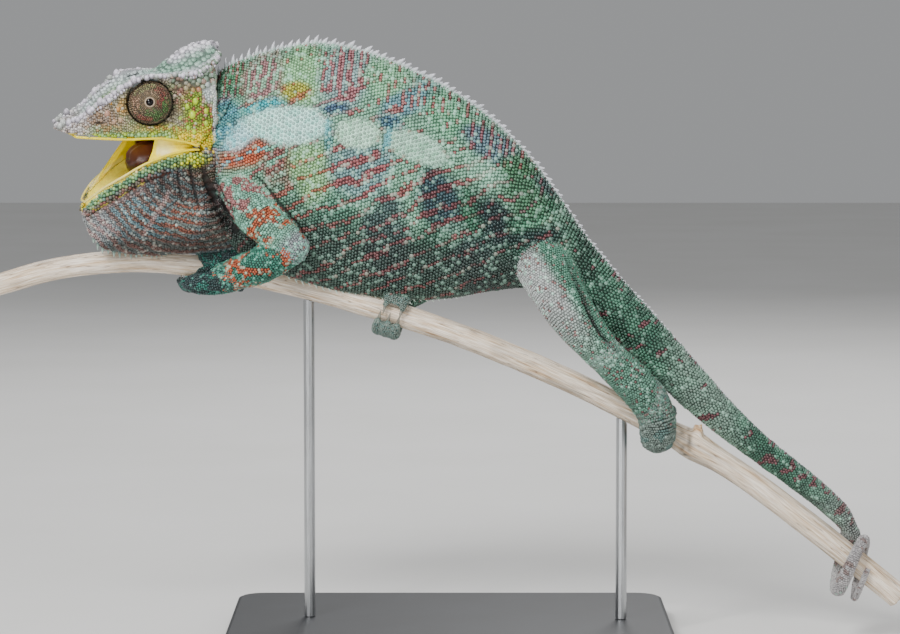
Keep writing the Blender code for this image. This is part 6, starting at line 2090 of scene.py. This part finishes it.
    def teeth(self) -> None:
        """Small blunt cones fused to the lower jaw's edge."""
        rows = sampled(self.form.jaw, 200)
        chosen = rows[(rows[:, 0] < 19.0) & (rows[:, 0] > -9.0)]
        up = self.form.head_axes()[2]
        roots = []
        for side in (1.0, -1.0):
            line = np.stack([chosen[:, 0], side * (chosen[:, 1] - 1.5), chosen[:, 2] - 0.25], axis=1)
            roots.append(spaced(self.form.from_head(line), (0.8, 1.15))[0])
        root = np.concatenate(roots)
        count = len(root)
        lean = np.tile(self.form.head_axes()[0], (count, 1))
        tone = np.tile(linear("#cfc29a"), (count, 1))
        made = spines("jaw_teeth", root, np.tile(up, (count, 1)), lean, np.full(count, 0.95),
                      np.full(count, 0.42), np.full(count, -0.1), (tone * 0.8, tone),
                      self.palette.scales.make(), 0.6)
        place(made, "horn")


@dataclass
class Trim:
    """Horny rows and single tubercles: crests, beads, cheek bosses and claws."""

    hide: Hidework

    def row(self, name: str, line: Array, pitch: tuple, height: tuple, width: tuple, stand: Array,
            hook: float, codes: tuple, thin: float = 0.6, sway: float = 0.18) -> None:
        """A row of spines along a line of the skin.

        Args:
            name: The piece's name.
            line: Points in mm, snapped to the skin.
            pitch: Distance between spines in mm, first to last.
            height: Their length in mm, first to last.
            width: Their half width in mm, first to last.
            stand: The way they stand, blended with the skin's normal.
            hook: Lean of the tip over the length.
            codes: Colours of base and tip.
            thin: Thickness over width.
            sway: Share by which their lengths differ.
        """
        rng = np.random.default_rng(91)
        root, along, share = spaced(line, pitch)
        root, normal, _ = self.hide.snap(root)
        even = np.linspace(0.0, 1.0, len(height))
        tall = np.interp(share, even, height) * rng.uniform(1 - sway, 1 + sway, len(root))
        wide = graded(share, width) * rng.uniform(0.9, 1.1, len(root))
        tones = tuple(np.tile(linear(code), (len(root), 1)) * rng.uniform(0.88, 1.1, (len(root), 1))
                      for code in codes)
        made = spines(name, root - normal * 0.2, unit(normal * 0.5 + stand), along, tall, wide,
                      tall * hook, tones, self.hide.palette.scales.make(), thin)
        place(made, "skin")

    def crests(self) -> None:
        """Spines along the back, under the throat and along the belly."""
        body = self.hide.forms["body"].grid
        top, bottom = body[:, 0, :3], body[:, body.shape[1] // 2, :3]
        count = int(0.80 * len(top))
        pitch = (2.9, 3.1, 3.0, 2.5, 2.0, 1.7, 1.5, 1.4, 1.3)
        self.row("crest_back", top[6:count], pitch,
                 (3.2, 3.0, 2.8, 2.1, 1.6, 1.1, 0.9, 0.8, 0.6),
                 (1.0, 1.65, 1.65, 1.35, 1.1, 0.9, 0.8, 0.7, 0.6),
                 np.zeros(3), 0.48, ("#8fa99c", "#cfced6"), 0.6, 0.26)
        self.row("crest_back_small", top[6:count] + np.array([1.6, 0.0, 0.0]), pitch,
                 (1.5, 1.8, 1.7, 1.3, 1.0, 0.7, 0.5, 0.4, 0.3), (0.8, 1.2, 1.2, 0.9, 0.7, 0.6, 0.5, 0.4, 0.3),
                 np.zeros(3), 0.4, ("#8fa99c", "#c3c6ca"), 0.6, 0.3)
        for side in (-1.0, 1.0):
            self.row(f"crest_flank_{'left' if side < 0 else 'right'}",
                     top[6:count] + np.array([0.6, side * 1.3, -0.6]), (1.5, 1.6, 1.5, 1.3, 1.1, 1.0),
                     (0.9, 1.2, 1.1, 0.8, 0.6, 0.5), (0.62, 0.72, 0.68, 0.55, 0.45, 0.4),
                     np.zeros(3), 0.4, ("#93a89e", "#bcc6c2"), 0.9, 0.3)
        inside = (bottom[:, 0] > -60.0) & (bottom[:, 0] < 24.0)
        self.row("crest_belly", bottom[inside], (2.6, 2.3, 1.9), (2.1, 1.8, 0.7), (0.6, 0.55, 0.4),
                 np.array([0.0, -0.25, -0.9]), 0.55, ("#5f8272", "#cfe0d4"), 0.8)
        jaw = self.hide.forms["lower_jaw"].grid
        keel = jaw[:, jaw.shape[1] // 2, :3]
        local = self.hide.form.to_head(keel)
        inside = (local[:, 0] < 19.5) & (local[:, 0] > -14.0)
        self.row("crest_throat", keel[inside], (2.4, 2.2, 1.9, 1.5), (2.3, 2.3, 1.6, 0.6),
                 (0.85, 0.8, 0.6, 0.4), np.array([0.0, 0.0, -1.2]), 0.12, ("#4f6660", "#93a89c"), 0.8, 0.3)

    def beads(self) -> None:
        """Rounded bosses on the brow crests, the casque's keel and its rear rim."""
        form = self.hide.form
        rng = np.random.default_rng(92)
        rows = sampled(form.skull, 300)
        rows = rows[(rows[:, 0] < 32.6)]
        lines = []
        for side in (1.0, -1.0):
            for inner, drop, start, end in ((0.985, 0.75, 32.6, -24.0), (0.89, 0.65, 30.0, -24.0),
                                            (1.02, 2.0, 31.0, 11.0), (1.02, 2.1, -10.0, -22.0)):
                part = rows[(rows[:, 0] < start) & (rows[:, 0] > end)]
                lines.append((np.stack([part[:, 0], side * part[:, 2] * inner, part[:, 3] - drop], axis=1),
                              np.array([0.0, side * 0.55, 0.83]), 1.25 if drop == 0.75 else 0.75, 1.4))
            part = rows[(rows[:, 0] < 32.8) & (rows[:, 0] > 7.0)]
            lines.append((np.stack([part[:, 0], side * part[:, 2] * 0.96, part[:, 3] - 0.35], axis=1),
                          np.array([0.0, side * 0.25, 0.97]), 1.5, 2.1))
            rim = spline(np.array([(9.4, 13.0), (11.6, 6.0), (12.9, -1.5), (12.9, -9.0), (12.6, -14.5)]),
                         np.linspace(0.0, 4.0, 40))
            bow = -21.4 + ((rim[:, 1] + 3.0) / 13.0) ** 2
            lines.append((np.stack([bow, side * rim[:, 0], rim[:, 1]], axis=1),
                          np.array([-0.4, side * 0.9, 0.1]), 0.36, 1.4))
        part = rows[(rows[:, 0] < 3.0) & (rows[:, 0] > -24.0)]
        lines.append((np.stack([part[:, 0], 0.0 * part[:, 0], part[:, 1] - 1.3], axis=1),
                      np.array([0.0, 0.0, 1.0]), 1.0, 1.4))
        groups = []
        for line, stand, scale, pitch in lines:
            step = pitch * scale ** 0.5
            root, along, share = spaced(form.from_head(line), (step, 1.07 * pitch * scale ** 0.5))
            count = len(root)
            normal = np.tile(unit(stand @ np.stack(form.head_axes())), (count, 1))
            along = square_to(normal, along)
            root = root + rng.normal(0.0, 0.16 * scale, root.shape)
            size = 0.80 * scale * rng.uniform(0.62, 1.3, count)
            tone = linear("#d6d0dc") * rng.uniform(0.7, 1.12, (count, 1))
            tone = tone + (linear("#a3ada0") - tone) * (rng.random((count, 1)) < 0.25) * 0.7
            spot = np.stack([share, np.full(count, 0.03 + 0.075 * len(groups))], axis=1) * 0.96 + 0.02
            groups.append(Scales(root, normal, along, size, size * 1.15 * rng.uniform(0.8, 1.25, count),
                                 np.full(count, 1.0), np.full(count, -0.15), tone, tone, spot,
                                 np.full(count, 0.5)))
        made = Scales.join(groups).mesh("coat_brow_beads", self.hide.palette.scales.make(), 8, 0.35)
        place(made, "skin")

    # (x, z, radius, colour) of single bosses on the left cheek and the snout's side, in mm.
    bosses: tuple = (
        (-92.9, 194.0, 0.95, "#9fc01e"), (-90.0, 196.0, 1.15, "#a6c41a"), (-91.1, 191.1, 1.35, "#acc618"),
        (-86.3, 192.4, 0.95, "#a8c020"), (-86.3, 188.0, 0.95, "#9cb824"), (-92.5, 186.5, 0.95, "#8fb032"),
        (-90.5, 185.1, 0.9, "#a9c41e"), (-95.3, 189.8, 0.75, "#8ea83c"), (-88.3, 199.0, 0.7, "#8fae40"),
        (-94.5, 197.3, 0.7, "#9a9a58"), (-96.5, 186.0, 0.7, "#93a83e"), (-88.0, 183.0, 0.75, "#c4b81c"),
        (-84.9, 184.5, 0.7, "#a9b82a"), (-120.4, 191.7, 1.1, "#a67d68"), (-118.0, 188.9, 0.85, "#a38368"),
        (-116.6, 193.3, 0.85, "#b07c40"), (-119.0, 195.5, 0.7, "#bf8a2c"), (-115.8, 189.5, 0.9, "#a88a6c"),
        (-122.6, 189.3, 0.7, "#99806c"), (-117.5, 198.0, 0.7, "#a29080"))

    def cheeks(self) -> None:
        """Big bosses set where a line of sight from the left meets the head, and their mirror images."""
        form = self.hide.form
        groups = []
        found = [self.hide.tree.ray_cast(Vector((x, -100.0, z)), Vector((0.0, 1.0, 0.0)))
                 for x, z, _, _ in self.bosses]
        root = np.array([item[0] for item in found])
        normal = np.array([item[1] for item in found])
        radius = np.array([item[2] for item in self.bosses])
        tone = np.array([linear(item[3]) for item in self.bosses])
        spot = np.random.default_rng(93).uniform(0.05, 0.45, (len(root), 2))
        for side in (1, -1):
            flip = np.array([1.0, side, 1.0])
            here = form.from_head(form.to_head(root) * flip)
            axes = np.stack(form.head_axes())
            way = ((normal @ axes.T) * flip) @ axes
            along = unit(np.cross(way, np.cross(axes[2], way)))
            groups.append(Scales(here, way, along, radius, radius * 0.62, np.full(len(root), 1.28),
                                 np.zeros(len(root)), tone, tone, spot + 0.25 * (1 - side),
                                 np.full(len(root), 0.45)))
        made = Scales.join(groups).mesh("coat_cheek_bosses", self.hide.palette.scales.make(), 12, -0.2)
        place(made, "skin")

    def claws(self) -> None:
        """Curved claws beyond the toes' tips: tubes that bend round the branch and thin to a point."""
        form, branch = self.hide.form, self.hide.branch
        tubes = []
        for name, (x, slide, first, last, thick, broad, toes, spread, _) in form.feet.items():
            along, _ = branch.run(np.array(x))
            turn = math.copysign(1.0, last - first)
            for toe in range(toes):
                offset = broad * (toe / (toes - 1) - 0.5) * spread * 1.08
                path = branch.grip(x, 0.0, last - turn * 8.0, last + turn * 34.0, thick * 0.75, 18)
                path = path + along * (offset + slide)
                radii = np.interp(np.linspace(0.0, 1.0, 18), (0.0, 0.5, 1.0), (0.85, 0.58, 0.10))
                tubes.append(form.tube(name, path, radii, tuple(along), 0.8, 14))
        made = new_object("claws", *merged(tubes), self.hide.palette.horn.make())
        place(made, "horn")


# ------------------------------------------------------------------ perch, stand and studio

@dataclass
class Perch:
    """The branch as an old twig: fibres, checks, a knot, a torn stub and two sawn ends."""

    branch: Branch
    palette: Palette
    voxel: float = 0.55

    def build(self) -> bpy.types.Object:
        """Sweep rings along the branch, join the stub, raise the grain and store its directions."""
        b = self.branch
        xs = np.linspace(b.ends[0] + 0.2, b.ends[1] - 0.2, 420)
        centres = b.centre(xs)
        along, up = b.run(xs)
        across = np.cross(along, up)
        turn = np.linspace(0.0, 2 * math.pi, 48, endpoint=False)
        radii = b.radius(xs)[:, None] - 0.15 + 0.12 * noise(np.stack(
            [np.repeat(xs[:, None], 48, axis=1) / 9.0, np.cos(turn) * 4 + 0 * xs[:, None],
             np.sin(turn) * 4 + 0 * xs[:, None]], axis=-1), 1.6, 51)
        points = (centres[:, None] + up[:, None] * (radii * np.cos(turn))[..., None]
                  + across[:, None] * (radii * np.sin(turn))[..., None])
        band = np.zeros(points.shape[:2] + (1,))
        stem = Shell("stem", np.concatenate([points, band], axis=-1))
        run = np.linspace(np.array(b.stub[0]), np.array(b.stub[1]), 30)
        radii = np.linspace(b.stub_radii[0], b.stub_radii[1] * 0.8, 30)
        direction = unit(run[-1] - run[0])
        side = unit(np.cross(direction, (0.0, 1.0, 0.0)))
        other = np.cross(side, direction)
        turn = np.linspace(0.0, 2 * math.pi, 32, endpoint=False)
        ragged = np.zeros((30, 32))
        ragged[-6:] = (noise(np.stack([np.cos(turn) * 3, np.sin(turn) * 3, turn * 0], axis=-1), 1.1, 52)
                       * np.linspace(0.0, 1.6, 6)[:, None] - 0.6)
        rings = (run[:, None] + side * (radii[:, None] * np.cos(turn))[..., None]
                 + other * (radii[:, None] * np.sin(turn))[..., None] + direction * ragged[..., None])
        stub = Shell("stub", np.concatenate([rings, np.zeros((30, 32, 1))], axis=-1))
        made = fused("perch_wood", (stem, stub), self.voxel, 2, self.palette.wood.make())
        mesh = made.data
        points, normals = mesh_points(mesh), mesh_normals(mesh)
        grain = self.grain(points)
        ridge = noise(grain * np.array([0.06, 1.3, 0.3]), 1.0, 53)
        fine = noise(grain * np.array([0.25, 4.0, 0.5]), 1.0, 54)
        points = points + normals * (0.16 * ridge + 0.07 * fine)[:, None]
        move_points(mesh, points)
        set_value(made, "grain", grain)
        ends = np.abs(normals @ unit(np.array([0.82, 0.0, -0.57]))) > 0.7
        cut = ((points[:, 0] < b.ends[0] + 2.0) | (points[:, 0] > b.ends[1] - 2.5)) & ends
        tip = np.linalg.norm(points - np.array(b.stub[1]), axis=1)
        set_value(made, "cut", np.maximum(cut.astype(float), 0.7 * (1.0 - ease(tip, 1.8, 3.0))))
        knot = np.exp(-((points[:, 0] - 85.0) / 2.2) ** 2) * ease(-points[:, 1], -1.0, 3.0)
        knot *= ease(noise(points, 1.6, 55), -0.5, 0.5)
        grime = ease(noise(grain * np.array([0.1, 0.5, 0.0]), 1.0, 56), 0.2, 0.9) * 0.25
        shade = 1.0 - np.clip(0.75 * knot + grime, 0.0, 0.9)
        set_colour(made, shade[:, None] * np.array([[1.0, 0.97, 0.92]]))
        return place(made, "perch_wood", "perch_branch")

    def grain(self, points: Array) -> Array:
        """Millimetres along the branch, round it and out from its heart, for each point."""
        along, up = self.branch.run(points[:, 0])
        away = points - self.branch.centre(points[:, 0])
        across = np.cross(along, up)
        upward = np.sum(away * up, axis=1)
        sideways = np.sum(away * across, axis=1)
        angle = np.arctan2(sideways, upward)
        return np.stack([points[:, 0] * 1.1, np.abs(angle) * 4.2 * np.sign(angle + 1e-9),
                         np.hypot(upward, sideways)], axis=1)


@dataclass
class Studio:
    """Pale floor, soft lights and the camera."""

    palette: Palette
    elevation: float = 5.0
    distance: float = 1.2
    aim_z: float = 0.118
    picture_width: float = 0.324
    sensor: float = 36.0

    def build(self) -> None:
        """Lay the floor, hang the lights and set the camera."""
        ring = np.array([[-3000.0, -3000.0, 0.0], [3000.0, -3000.0, 0.0], [3000.0, 3000.0, 0.0],
                         [-3000.0, 3000.0, 0.0]])
        floor = new_object("floor", ring, [np.array([[0, 1, 2, 3]])], self.palette.floor.make(), smooth=False)
        self.light("key", (-0.5, -0.9, 0.95), 0.36, 19.0)
        self.light("front", (-0.22, -1.2, 0.12), 0.6, 6.5)
        self.light("fill", (0.85, -0.75, 0.45), 0.7, 3.0)
        self.light("rim", (0.2, 0.9, 0.9), 0.5, 9.0)
        world = bpy.data.worlds.new("soft_room")
        world.use_nodes = True
        back = world.node_tree.nodes["Background"]
        back.inputs["Color"].default_value = (*linear("#eef0f2"), 1.0)
        back.inputs["Strength"].default_value = 0.38
        bpy.context.scene.world = world
        camera = bpy.data.objects.new("camera", bpy.data.cameras.new("camera"))
        bpy.context.scene.collection.objects.link(camera)
        tilt = math.radians(self.elevation)
        camera.location = (0.0, -math.cos(tilt) * self.distance, self.aim_z + math.sin(tilt) * self.distance)
        camera.rotation_euler = (math.pi / 2 - tilt, 0.0, 0.0)
        camera.data.sensor_width = self.sensor
        camera.data.lens = self.sensor * self.distance / self.picture_width
        camera.data.clip_end = 10.0
        bpy.context.scene.camera = camera

    def light(self, name: str, spot: tuple, size: float, power: float) -> None:
        """A square soft box that faces the animal."""
        lamp = bpy.data.lights.new(name, "AREA")
        lamp.size = size
        lamp.energy = power
        made = bpy.data.objects.new(name, lamp)
        made.location = spot
        aim = Vector((0.0, 0.0, 0.14)) - Vector(spot)
        made.rotation_euler = aim.to_track_quat("-Z", "Y").to_euler()
        bpy.context.scene.collection.objects.link(made)


def dress_cad(palette: Palette) -> None:
    """Give the carried-over solids of the stand their finishes."""
    finishes = {"stand_base": palette.powder, "stand_rod_front": palette.steel,
                "stand_rod_back": palette.steel}
    for node, finish in finishes.items():
        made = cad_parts[node]
        made.data.materials.clear()
        made.data.materials.append(finish.make())


def main() -> None:
    """Build every class in order, and report each piece."""
    logging.basicConfig(level=logging.INFO, format="%(message)s")
    palette = Palette()
    form = Form()
    branch = Branch()
    Studio(palette).build()
    dress_cad(palette)
    Perch(branch, palette).build()
    hide = Hidework(form, branch, Markings(form), palette)
    hide.build_skin()
    build_coat(hide)
    for side in (1, -1):
        Eye(form, palette).build(side)
    Mouth(form, palette).build()
    trim = Trim(hide)
    trim.crests()
    trim.beads()
    trim.cheeks()
    trim.claws()


if __name__ == "__main__":
    main()
